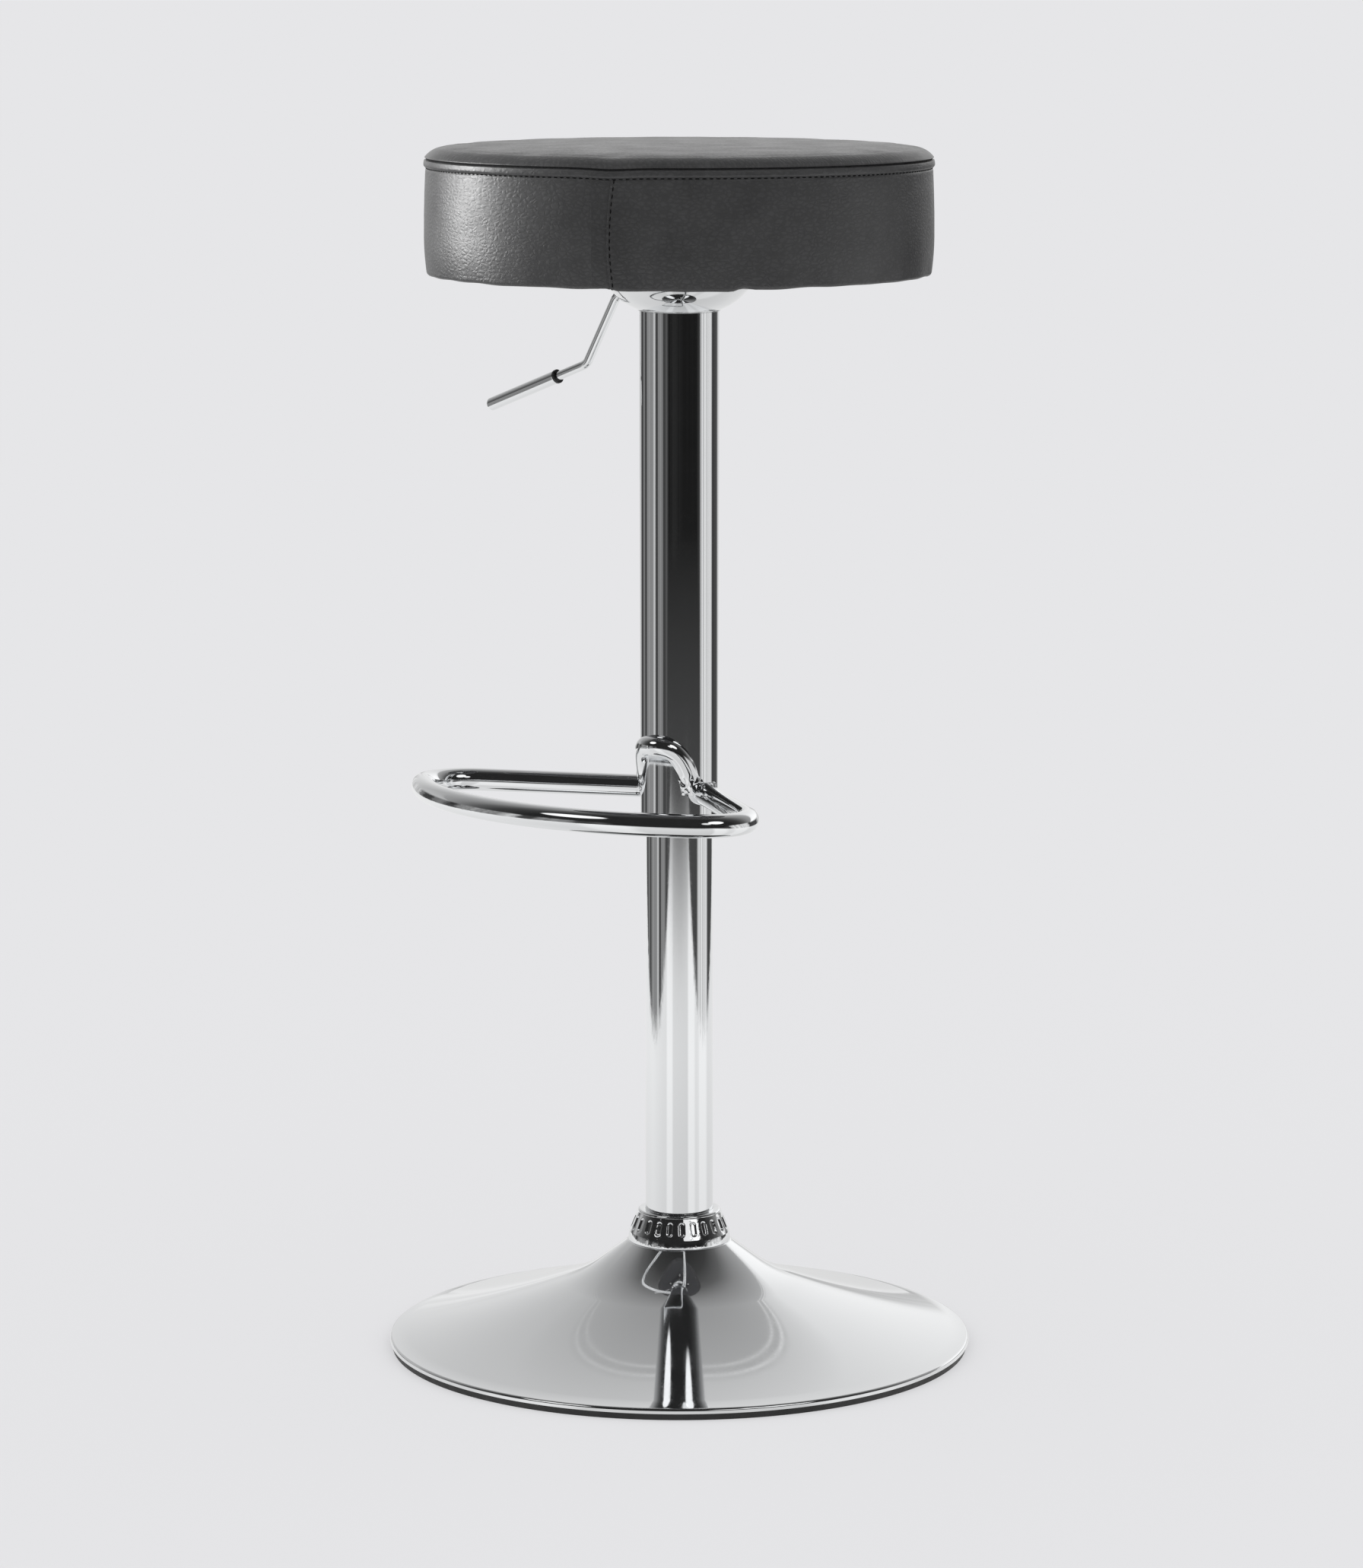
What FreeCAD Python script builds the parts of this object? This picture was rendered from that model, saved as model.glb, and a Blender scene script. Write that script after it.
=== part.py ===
import FreeCAD, Part
import math
import os
import types

import Sketcher

# Bar stool with a round padded seat, a footrest loop and a trumpet base, in millimetres.
# The origin is the floor point under the column, +Z is up, the footrest points to -Y
# and the height lever to -X. The seat is drawn at the top of its travel.

doc = FreeCAD.newDocument("bar_stool")
sheet = doc.addObject("Spreadsheet::Sheet", "Sizes")

DRIVING_SIZES = [
    # base
    ("base_radius", 205.0),
    ("rim_height", 8.3),
    ("rim_roll", 2.0),
    ("shell_wall", 1.5),
    ("land_step", 1.6),
    ("land_lip", 1.0),
    ("neck_radius", 37.2),
    ("neck_rise", 15.8),
    ("throat_radius", 58.0),
    ("throat_rise", 13.4),
    ("sweep_radius", 82.0),
    ("sweep_height", 45.2),
    ("neck_curve", 2.6),
    ("throat_curve", 103.0),
    ("dish_curve", 797.0),
    ("edge_ring_height", 4.5),
    ("edge_ring_width", 8.5),
    ("edge_ring_taper", 1.4),
    ("base_plate_wall", 2.0),
    ("access_radius", 14.0),
    ("ballast_inset", 90.0),
    ("ballast_height", 8.0),
    ("ballast_gap", 2.0),
    ("socket_wall", 3.6),
    ("socket_flange_margin", 8.0),
    ("socket_flange_wall", 6.0),
    ("socket_screw_inset", 12.25),
    ("socket_screw_radius", 3.0),
    ("socket_screw_head", 5.8),
    # collar on the base
    ("collar_overhang", 0.4),
    ("collar_band_height", 6.0),
    ("collar_stand", 5.55),
    ("collar_height", 22.2),
    ("collar_draft", 0.6),
    ("collar_lip_round", 1.7),
    ("collar_wall", 1.8),
    ("recess_count", 24.0),
    ("recess_width", 3.6),
    ("recess_length", 9.0),
    ("recess_depth", 1.1),
    # lower column
    ("lower_tube_radius", 23.75),
    ("tube_wall", 1.5),
    ("column_gap", 10.0),
    ("liner_length", 135.0),
    ("liner_flange", 3.0),
    ("foot_plug_floor", 10.0),
    ("foot_plug_wall", 8.0),
    # thrust bearing and rod
    ("washer_wall", 1.5),
    ("washer_lap", 1.0),
    ("ball_radius", 1.75),
    ("ball_circle", 8.6),
    ("ball_count", 12.0),
    ("cage_wall", 1.4),
    ("cage_lip", 0.65),
    ("rod_radius", 5.0),
    ("rod_tail_radius", 4.0),
    ("rod_tail_stub", 1.4),
    ("rod_washer_wall", 1.8),
    ("clip_wall", 1.0),
    ("clip_radius", 7.0),
    ("clip_groove_radius", 3.2),
    ("bumper_radius", 9.0),
    ("bumper_height", 20.0),
    ("piston_length", 14.0),
    ("piston_bore", 3.5),
    ("piston_nut_radius", 6.5),
    ("piston_nut_height", 5.0),
    ("seal_width", 4.0),
    ("seal_depth", 1.7),
    # pressure cylinder and height travel
    ("stroke", 215.0),
    ("cylinder_radius", 14.0),
    ("cylinder_wall", 1.75),
    ("cylinder_rise", 4.0),
    ("cylinder_end_wall", 2.0),
    ("taper_length", 42.0),
    ("taper_step", 0.8),
    ("gland_length", 22.0),
    ("valve_length", 28.0),
    ("pin_radius", 3.0),
    ("pin_length", 28.0),
    ("pin_chamfer", 1.0),
    # upper column
    ("tube_step", 3.75),
    ("column_low_gap", 61.4),
    ("upper_tube_length", 357.0),
    ("guide_inset", 2.0),
    ("guide_length", 20.0),
    ("hub_wall", 5.0),
    ("top_ring_wall", 9.0),
    # bell cup
    ("cup_wall", 1.2),
    ("cup_overhang", 1.1),
    ("cup_lip_height", 0.6),
    ("cup_rim_radius", 52.4),
    ("cup_curve", 40.0),
    # seat plate
    ("plate_wall", 2.5),
    ("plate_margin", 16.0),
    ("plate_corner", 12.0),
    ("pan_floor_lap", 7.0),
    ("pan_knee_run", 7.0),
    ("pan_knee_height", 8.0),
    ("pan_clearance", 7.2),
    ("pan_lap", 4.0),
    ("seat_stand", 25.3),
    ("seat_screw_pitch", 100.0),
    ("seat_screw_radius", 3.0),
    ("seat_screw_head_radius", 5.5),
    ("seat_screw_head_height", 4.0),
    ("head_round", 1.0),
    ("seat_washer_radius", 8.0),
    ("seat_washer_wall", 1.2),
    # lever
    ("lever_slot_width", 10.0),
    ("lever_slot_drop", 7.8),
    ("lever_slot_height", 13.8),
    ("lever_radius", 3.25),
    ("pivot_reach", 19.0),
    ("pivot_rise", 8.3),
    ("pivot_radius", 2.5),
    ("pivot_head_radius", 4.0),
    ("pivot_head_wall", 1.5),
    ("boss_radius", 5.5),
    ("boss_length", 12.0),
    ("ear_wall", 2.5),
    ("ear_width", 8.0),
    ("ear_top", 4.7),
    ("ear_floor_wall", 2.0),
    ("nose_reach", 3.0),
    ("shoulder_reach", 57.5),
    ("shoulder_drop", 3.3),
    ("elbow_run", 29.5),
    ("elbow_drop", 50.4),
    ("grip_slope", 20.0),
    ("grip_start", 31.0),
    ("grip_length", 69.0),
    ("grip_end_wall", 1.2),
    ("grip_round", 2.0),
    ("lever_bend", 9.0),
    ("grip_stand", 1.55),
    ("grip_wall", 0.8),
    ("grip_lip", 1.6),
    ("grip_lip_step", 0.2),
    ("rod_end_gap", 5.0),
    ("pivot_bend", 40.0),
    # footrest
    ("ring_tube_radius", 8.0),
    ("ring_tube_wall", 1.5),
    ("ring_rise", 22.7),
    ("ring_tilt", 1.9),
    ("ring_reach", 175.1),
    ("ring_centre_setback", 13.2),
    ("ring_corner_radius", 35.0),
    ("ring_leg_angle", 55.2),
    ("ring_leg_cross", 15.7),
    ("saddle_tube_radius", 7.0),
    ("saddle_rise", 34.6),
    ("saddle_stand", 3.0),
    ("saddle_sink", 6.5),
    ("saddle_foot_angle", 56.0),
    ("saddle_turn", 7.5),
    ("saddle_foot_height", 5.0),
    # seat
    ("seat_radius", 173.5),
    ("seat_height", 88.5),
    ("bulge_swell", 1.7),
    ("bulge_rise", 26.0),
    ("waist_swell", 0.4),
    ("waist_drop", 6.1),
    ("crease_swell", 1.3),
    ("crease_drop", 9.6),
    ("shoulder_run", 12.8),
    ("crown_drop", 1.6),
    ("crown_flat", 12.0),
    ("shoulder_curve", 14.0),
    ("side_curve", 165.0),
    ("waist_curve", 810.0),
    ("crease_depth", 0.6),
    ("crease_half", 0.8),
    ("cover_wall", 1.2),
    ("hem_depth", 30.5),
    ("hem_corner", 2.5),
    ("board_inset", 6.0),
    ("board_wall", 12.0),
    ("dust_cover_wall", 0.6),
    ("dust_cover_inset", 13.5),
    ("dust_cover_step", 1.0),
    ("dust_cover_flat", 110.0),
    ("tnut_barrel_radius", 4.2),
    ("tnut_flange_radius", 9.5),
    ("tnut_flange_wall", 1.5),
    ("tnut_length", 9.0),
    ("staple_count", 36.0),
    ("staple_inset", 21.5),
    ("staple_width", 10.0),
    ("staple_wire", 0.6),
    ("staple_depth", 1.2),
    # clearances
    ("running_gap", 0.05),
    ("rest_gap", 0.3),
    ("slide_gap", 2.0),
    ("cut_margin", 1.0),
]

QUARTER_TURN = 90.0


class Size:
    """A length that knows both its number and the spreadsheet expression it comes from."""

    def __init__(self, value, text):
        self.value = value
        self.text = text

    def __add__(self, other):
        other = as_size(other)
        return Size(self.value + other.value, f"({self.text} + {other.text})")

    def __radd__(self, other):
        return as_size(other) + self

    def __sub__(self, other):
        other = as_size(other)
        return Size(self.value - other.value, f"({self.text} - {other.text})")

    def __rsub__(self, other):
        return as_size(other) - self

    def __mul__(self, other):
        other = as_size(other)
        return Size(self.value * other.value, f"({self.text} * {other.text})")

    def __rmul__(self, other):
        return as_size(other) * self

    def __truediv__(self, other):
        other = as_size(other)
        return Size(self.value / other.value, f"({self.text} / {other.text})")

    def __neg__(self):
        return Size(-self.value, f"(-1 * {self.text})")


def as_size(number):
    """A plain number as a Size; a Size stays as it is."""
    if isinstance(number, Size):
        return number
    return Size(float(number), repr(float(number)))


def root(size):
    return Size(math.sqrt(size.value), f"sqrt({size.text})")


def sine(degrees):
    return Size(math.sin(math.radians(degrees.value)), f"sin({degrees.text})")


def cosine(degrees):
    return Size(math.cos(math.radians(degrees.value)), f"cos({degrees.text})")


sheet_rows = iter(range(1, 1000))


def driving(alias, value):
    """Write one driving size to the sheet."""
    row = next(sheet_rows)
    sheet.set(f"A{row}", alias)
    sheet.set(f"B{row}", str(value))
    sheet.setAlias(f"B{row}", alias)
    return Size(value, f"Sizes.{alias}")


def derived(alias, size):
    """Write a size that follows from others to the sheet as a formula."""
    row = next(sheet_rows)
    sheet.set(f"A{row}", alias)
    sheet.set(f"B{row}", "=" + size.text.replace("Sizes.", ""))
    sheet.setAlias(f"B{row}", alias)
    return Size(size.value, f"Sizes.{alias}")


s = types.SimpleNamespace(**{alias: driving(alias, value) for alias, value in DRIVING_SIZES})


def follow(alias, size):
    """Name a size of one piece that follows from its neighbours' sizes."""
    setattr(s, alias, derived(alias, size))


# Heights, from the base up.
follow("throat_height", s.sweep_height + s.throat_rise)
follow("neck_height", s.throat_height + s.neck_rise)
follow("land_height", s.neck_height + s.land_lip)
follow("upper_tube_floor", s.land_height + s.collar_height + s.column_low_gap + s.stroke)
follow("upper_tube_top", s.upper_tube_floor + s.upper_tube_length)
follow("cylinder_top", s.upper_tube_top + s.cylinder_rise)
follow("lower_tube_top", s.cylinder_top - s.taper_length - s.stroke - s.liner_flange - s.column_gap)
follow("clip_floor", s.foot_plug_floor - s.rest_gap - s.rod_washer_wall - s.clip_wall)
follow("rod_tail_floor", s.clip_floor - s.rod_tail_stub)
follow("ring_height", s.upper_tube_floor + s.ring_rise)
follow("seat_floor", s.upper_tube_top + s.seat_stand)
follow("pivot_height", s.upper_tube_top + s.cup_wall + s.plate_wall + s.pivot_rise)
follow("lever_slot_floor", s.pivot_height - s.lever_slot_drop)
follow("ear_height", s.pivot_rise + s.ear_top)
follow("shoulder_height", s.pivot_height - s.shoulder_drop)
follow("elbow_height", s.shoulder_height - s.elbow_drop)
follow("crease_rise", s.seat_height - s.crease_drop)
follow("waist_rise", s.crease_rise - s.waist_drop)

# Radii and reaches, from the column out.
follow("land_radius", s.neck_radius - s.land_step)
follow("ballast_radius", s.base_radius - s.ballast_inset)
follow("socket_screw_circle", s.lower_tube_radius + s.socket_screw_inset)
follow("socket_flange_radius", s.socket_screw_circle + s.socket_flange_margin)
follow("collar_foot_radius", s.land_radius + s.collar_overhang)
follow("collar_band_radius", s.collar_foot_radius - s.collar_draft)
follow("collar_top_radius", s.lower_tube_radius + s.collar_stand)
follow("cage_inner_radius", s.ball_circle - s.ball_radius - s.cage_lip)
follow("cage_outer_radius", s.ball_circle + s.ball_radius + s.cage_lip)
follow("washer_radius", s.cage_outer_radius + s.washer_lap)
follow("upper_tube_radius", s.lower_tube_radius + s.tube_step)
follow("hub_radius", s.cylinder_radius + s.hub_wall)
follow("cup_lip_radius", s.upper_tube_radius + s.cup_overhang)
follow("pan_floor_radius", s.hub_radius + s.pan_floor_lap)
follow("pan_mouth_radius", s.cup_rim_radius - s.cup_wall - s.pan_clearance)
follow("pan_knee_radius", s.pan_mouth_radius - s.pan_knee_run)
follow("plate_width", s.seat_screw_pitch + s.plate_margin * 2)
follow("elbow_reach", s.shoulder_reach + s.elbow_run)
follow("grip_radius", s.lever_radius + s.grip_stand)
follow("grip_lip_radius", s.grip_radius + s.grip_lip_step)
follow("ring_front_radius", s.ring_reach + s.ring_centre_setback)
follow("saddle_apex_reach", s.upper_tube_radius + s.saddle_stand)
follow("saddle_foot_reach", s.upper_tube_radius - s.saddle_sink)
follow("bulge_radius", s.seat_radius + s.bulge_swell)
follow("waist_radius", s.seat_radius + s.waist_swell)
follow("crease_radius", s.seat_radius + s.crease_swell)
follow("crown_radius", s.crease_radius - s.shoulder_run)
follow("hem_radius", s.seat_radius - s.hem_depth)
follow("board_radius", s.seat_radius - s.board_inset)
follow("dust_cover_radius", s.seat_radius - s.dust_cover_inset)
follow("staple_circle", s.seat_radius - s.staple_inset)


def bind(target, path, size):
    """Tie a property to the sheet, with its number set first."""
    target.setExpression(path, as_size(size).text)


def new_body(label, height=None):
    """An empty PartDesign body whose origin sits at the given height."""
    body = doc.addObject("PartDesign::Body", label)
    body.Label = label
    if height is not None:
        bind(body, "Placement.Base.z", height)
    return body


def origin_feature(body, role):
    return next(feature for feature in body.Origin.OriginFeatures if feature.Role == role)


def new_sketch(body, name, role):
    """A sketch on one of the body's own origin planes."""
    sketch = body.newObject("Sketcher::SketchObject", name)
    sketch.AttachmentSupport = [(origin_feature(body, role), "")]
    sketch.MapMode = "FlatFace"
    return sketch


def fix(sketch, kind, *where, size):
    """Add a dimension to a sketch and tie it to the sheet."""
    index = sketch.addConstraint(Sketcher.Constraint(kind, *where, size.value))
    bind(sketch, f"Constraints[{index}]", size)


def fix_point(sketch, edge, end, x, y):
    """Hold one end of an edge at x and y; a zero coordinate lies on the axis."""
    x, y = as_size(x), as_size(y)
    if x.value == 0:
        sketch.addConstraint(Sketcher.Constraint("PointOnObject", edge, end, -2))
    else:
        fix(sketch, "DistanceX", edge, end, size=x)
    if y.value == 0:
        sketch.addConstraint(Sketcher.Constraint("PointOnObject", edge, end, -1))
    else:
        fix(sketch, "DistanceY", edge, end, size=y)


def arc_between(start, end, radius):
    """The short arc of a circle; a positive radius runs anticlockwise from start to end."""
    half = (end - start) * 0.5
    reach = math.sqrt(radius * radius - half.Length * half.Length)
    side = FreeCAD.Vector(-half.y, half.x, 0).normalize() * math.copysign(reach, radius)
    centre = start + half + side
    first, last = (start, end) if radius > 0 else (end, start)
    angles = [math.atan2(point.y - centre.y, point.x - centre.x) for point in (first, last)]
    circle = Part.Circle(centre, FreeCAD.Vector(0, 0, 1), abs(radius))
    return Part.ArcOfCircle(circle, angles[0], angles[1])


def draw(sketch, corners, closed=True):
    """Draw edges through corners (x, y) or (x, y, radius of the arc to the next corner)."""
    points = [FreeCAD.Vector(as_size(c[0]).value, as_size(c[1]).value, 0) for c in corners]
    edge_count = len(corners) if closed else len(corners) - 1
    ends = []
    for i in range(edge_count):
        start, end = points[i], points[(i + 1) % len(points)]
        if len(corners[i]) == 3:
            radius = corners[i][2]
            edge = sketch.addGeometry(arc_between(start, end, radius.value), False)
            fix(sketch, "Radius", edge, size=radius if radius.value > 0 else -radius)
            ends.append((edge, 1, 2) if radius.value > 0 else (edge, 2, 1))
        else:
            edge = sketch.addGeometry(Part.LineSegment(start, end), False)
            ends.append((edge, 1, 2))
    for i, (edge, first, _) in enumerate(ends):
        fix_point(sketch, edge, first, corners[i][0], corners[i][1])
        if closed or i > 0:
            before, _, last = ends[i - 1]
            sketch.addConstraint(Sketcher.Constraint("Coincident", before, last, edge, first))
    if not closed:
        edge, _, last = ends[-1]
        fix_point(sketch, edge, last, corners[-1][0], corners[-1][1])


def draw_circle(sketch, x, y, radius):
    """Draw a circle whose centre and radius follow the sheet."""
    x, y, radius = as_size(x), as_size(y), as_size(radius)
    circle = Part.Circle(FreeCAD.Vector(x.value, y.value, 0), FreeCAD.Vector(0, 0, 1), radius.value)
    edge = sketch.addGeometry(circle, False)
    fix_point(sketch, edge, 3, x, y)
    fix(sketch, "Radius", edge, size=radius)


def turn(body, name, corners, centre=None):
    """Turn a closed outline (radius, height) about Z, or about a vertical line through centre."""
    sketch = new_sketch(body, name + "_outline", "XZ_Plane")
    if centre is not None:
        x, y = as_size(centre[0]), as_size(centre[1])
        bind(sketch, "AttachmentOffset.Base.x", x)
        bind(sketch, "AttachmentOffset.Base.z", -y)
    draw(sketch, corners)
    feature = body.newObject("PartDesign::Revolution", name)
    feature.Profile = sketch
    feature.ReferenceAxis = (sketch, ["V_Axis"])
    feature.Angle = 360.0
    body.Tip = feature
    return feature


def turned(label, height, corners, centre=None):
    """A body of revolution at a height."""
    body = new_body(label, height)
    turn(body, label + "_turning", corners, centre)
    return body


def sleeve(label, height, inner, outer, length, centre=None):
    """A plain ring, bush or tube; inner is zero for a solid bar."""
    corners = [(inner, 0), (outer, 0), (outer, length), (inner, length)]
    return turned(label, height, corners, centre)


def repeat_round(body, feature, count, name):
    """Copies of a feature round the body's Z axis."""
    pattern = body.newObject("PartDesign::PolarPattern", name)
    pattern.Originals = [feature]
    pattern.Axis = (origin_feature(body, "Z_Axis"), [""])
    pattern.Angle = 360.0
    bind(pattern, "Occurrences", count)
    body.Tip = pattern
    return pattern


def extrude(body, kind, name, sketch, length, both_ways=False, reverse=False):
    """Pad or pocket a sketch by a length."""
    feature = body.newObject(f"PartDesign::{kind}", name)
    feature.Profile = sketch
    bind(feature, "Length", length)
    feature.SideType = "Symmetric" if both_ways else "One side"
    feature.Reversed = reverse
    body.Tip = feature
    return feature


def cut_turn(body, name, corners, centre):
    """Cut a turned hollow about a vertical line through centre."""
    sketch = new_sketch(body, name + "_outline", "XZ_Plane")
    bind(sketch, "AttachmentOffset.Base.x", centre[0])
    bind(sketch, "AttachmentOffset.Base.z", -as_size(centre[1]))
    draw(sketch, corners)
    feature = body.newObject("PartDesign::Groove", name)
    feature.Profile = sketch
    feature.ReferenceAxis = (sketch, ["V_Axis"])
    feature.Angle = 360.0
    body.Tip = feature
    return feature


def cylinder_cut(radius, floor, top):
    """The outline of a round hole from one height to another."""
    return [(0, floor), (radius, floor), (radius, top), (0, top)]


def bend(name, before, corner, after, radius):
    """The two ends of the arc that rounds a corner of a path, as entries for draw."""
    legs = []
    for other in (before, after):
        dx, dy = other[0] - corner[0], other[1] - corner[1]
        length = root(dx * dx + dy * dy)
        legs.append((dx / length, dy / length))
    (ax, ay), (bx, by) = legs
    cosine_between = ax * bx + ay * by
    setback = derived(name + "_setback", radius * root((1 + cosine_between) / (1 - cosine_between)))
    left_turn = ax.value * by.value - ay.value * bx.value < 0
    signed = radius if left_turn else -radius
    return [
        (corner[0] + ax * setback, corner[1] + ay * setback, signed),
        (corner[0] + bx * setback, corner[1] + by * setback),
    ]


# Base: a pressed trumpet shell on a rubber edge ring, with an iron ballast disc inside.
plate_top = s.edge_ring_height
wall_in = s.shell_wall * 0.5
wall_down = s.shell_wall * 0.87
base_shell = turned("base_shell", None, [
    (s.lower_tube_radius, s.land_height),
    (s.land_radius, s.land_height, -s.neck_curve),
    (s.neck_radius, s.neck_height),
    (s.throat_radius, s.throat_height, s.throat_curve),
    (s.sweep_radius, s.sweep_height, s.dish_curve),
    (s.base_radius - s.rim_roll, s.rim_height, -s.rim_roll),
    (s.base_radius, s.rim_height - s.rim_roll),
    (s.base_radius, plate_top),
    (s.base_radius - s.shell_wall, plate_top),
    (s.base_radius - s.shell_wall, s.rim_height - s.rim_roll),
    (s.base_radius - s.rim_roll - wall_in, s.rim_height - wall_down, -s.dish_curve),
    (s.sweep_radius - wall_in, s.sweep_height - wall_down, -s.throat_curve),
    (s.throat_radius - wall_in, s.throat_height - wall_down),
    (s.neck_radius - wall_in, s.neck_height - wall_down),
    (s.land_radius - s.shell_wall, s.land_height - s.shell_wall),
    (s.lower_tube_radius, s.land_height - s.shell_wall),
])

plate_radius = s.base_radius - s.edge_ring_width
base_edge_ring = turned("base_edge_ring", None, [
    (plate_radius, 0),
    (s.base_radius - s.rest_gap - s.edge_ring_taper, 0),
    (s.base_radius - s.rest_gap, plate_top),
    (plate_radius, plate_top),
])

countersink = [
    (0, 0),
    (s.socket_screw_head, 0),
    (s.socket_screw_radius, s.base_plate_wall),
    (0, s.base_plate_wall),
]
screw_line = (s.socket_screw_circle, 0)
screw_count = 4
base_plate = sleeve("base_plate", plate_top - s.base_plate_wall, s.access_radius, plate_radius, s.base_plate_wall)
plate_hole = cut_turn(base_plate, "base_plate_screw_hole", countersink, screw_line)
repeat_round(base_plate, plate_hole, screw_count, "base_plate_screw_holes")

ballast_disc = sleeve(
    "ballast_disc", plate_top, s.socket_flange_radius + s.ballast_gap, s.ballast_radius, s.ballast_height
)

socket_height = s.land_height - s.shell_wall - plate_top
socket_radius = s.lower_tube_radius + s.socket_wall
column_socket = turned("column_socket", plate_top, [
    (s.lower_tube_radius, 0),
    (s.socket_flange_radius, 0),
    (s.socket_flange_radius, s.socket_flange_wall),
    (socket_radius, s.socket_flange_wall),
    (socket_radius, socket_height),
    (s.lower_tube_radius, socket_height),
])
socket_hole = cut_turn(
    column_socket, "socket_screw_hole", cylinder_cut(s.socket_screw_radius, 0, s.socket_flange_wall), screw_line
)
repeat_round(column_socket, socket_hole, screw_count, "socket_screw_holes")

socket_screws = new_body("socket_screws", plate_top - s.base_plate_wall)
socket_screw = turn(socket_screws, "socket_screw", [
    (0, 0),
    (s.socket_screw_head, 0),
    (s.socket_screw_radius, s.base_plate_wall),
    (s.socket_screw_radius, s.base_plate_wall + s.socket_flange_wall),
    (0, s.base_plate_wall + s.socket_flange_wall),
], screw_line)
repeat_round(socket_screws, socket_screw, screw_count, "socket_screw_ring")

# Collar that hides the joint of the column and the base, with oval recesses all round.
cone_top = s.collar_height - s.collar_lip_round
base_collar = turned("base_collar", s.land_height, [
    (s.collar_foot_radius - s.collar_wall - s.rest_gap, 0),
    (s.collar_foot_radius, 0),
    (s.collar_band_radius, s.collar_band_height),
    (s.collar_top_radius, cone_top, s.collar_lip_round),
    (s.collar_top_radius - s.collar_lip_round, s.collar_height),
    (s.lower_tube_radius, s.collar_height),
    (s.lower_tube_radius, s.collar_height - s.collar_wall),
    (s.collar_top_radius - s.collar_wall, s.collar_height - s.collar_wall),
])
cone_run = s.collar_band_radius - s.collar_top_radius
cone_rise = cone_top - s.collar_band_height
recess_sketch = new_sketch(base_collar, "recess_outline", "XZ_Plane")
recess_sketch.AttachmentOffset = FreeCAD.Placement(
    FreeCAD.Vector(), FreeCAD.Rotation(FreeCAD.Vector(-1, 0, 0), 18.0)
)
bind(recess_sketch, "AttachmentOffset.Rotation.Angle", Size(18.0, f"atan({(cone_run / cone_rise).text})"))
bind(recess_sketch, "AttachmentOffset.Base.y", s.collar_band_height + cone_rise * 0.5)
bind(recess_sketch, "AttachmentOffset.Base.z", s.collar_band_radius - cone_run * 0.5)
half_width = s.recess_width * 0.5
straight = (s.recess_length - s.recess_width) * 0.5
draw(recess_sketch, [
    (half_width, -straight),
    (half_width, straight, half_width),
    (0, straight + half_width, half_width),
    (-half_width, straight),
    (-half_width, -straight, half_width),
    (0, -straight - half_width, half_width),
])
recess = extrude(base_collar, "Pocket", "recess", recess_sketch, s.recess_depth)
repeat_round(base_collar, recess, s.recess_count, "recess_ring")

# Lower column with the plastic liner that guides the pressure cylinder.
lower_bore = s.lower_tube_radius - s.tube_wall
lower_column_tube = sleeve(
    "lower_column_tube", plate_top, lower_bore, s.lower_tube_radius, s.lower_tube_top - plate_top
)
liner_bore = s.cylinder_radius + s.running_gap
guide_liner = turned("guide_liner", s.lower_tube_top - s.liner_length, [
    (liner_bore, 0),
    (lower_bore, 0),
    (lower_bore, s.liner_length),
    (s.lower_tube_radius, s.liner_length),
    (s.lower_tube_radius, s.liner_length + s.liner_flange),
    (liner_bore, s.liner_length + s.liner_flange),
])
column_foot_plug = sleeve(
    "column_foot_plug", s.foot_plug_floor, s.rod_tail_radius + s.running_gap, lower_bore, s.foot_plug_wall
)

# Thrust bearing that the piston rod turns on.
bearing_floor = s.foot_plug_floor + s.foot_plug_wall
ball_height = derived("ball_height", bearing_floor + s.washer_wall + s.ball_radius + s.running_gap)
upper_washer_floor = derived("upper_washer_floor", ball_height + s.ball_radius + s.running_gap)
bearing_top = derived("bearing_top", upper_washer_floor + s.washer_wall)
thrust_washer_lower = sleeve(
    "thrust_washer_lower", bearing_floor, s.rod_tail_radius + s.rest_gap, s.washer_radius, s.washer_wall
)
ball_line = (s.ball_circle, 0)
thrust_balls = new_body("thrust_balls", ball_height)
thrust_ball = turn(thrust_balls, "thrust_ball", [
    (0, -s.ball_radius, s.ball_radius),
    (s.ball_radius, 0, s.ball_radius),
    (0, s.ball_radius),
], ball_line)
repeat_round(thrust_balls, thrust_ball, s.ball_count, "thrust_ball_ring")
ball_cage = sleeve(
    "ball_cage", ball_height - s.cage_wall * 0.5, s.cage_inner_radius, s.cage_outer_radius, s.cage_wall
)
cage_hole = cut_turn(
    ball_cage, "cage_hole", cylinder_cut(s.ball_radius + s.running_gap * 2, 0, s.cage_wall), ball_line
)
repeat_round(ball_cage, cage_hole, s.ball_count, "cage_hole_ring")
thrust_washer_upper = sleeve(
    "thrust_washer_upper", upper_washer_floor, s.rod_tail_radius, s.washer_radius, s.washer_wall
)

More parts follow.
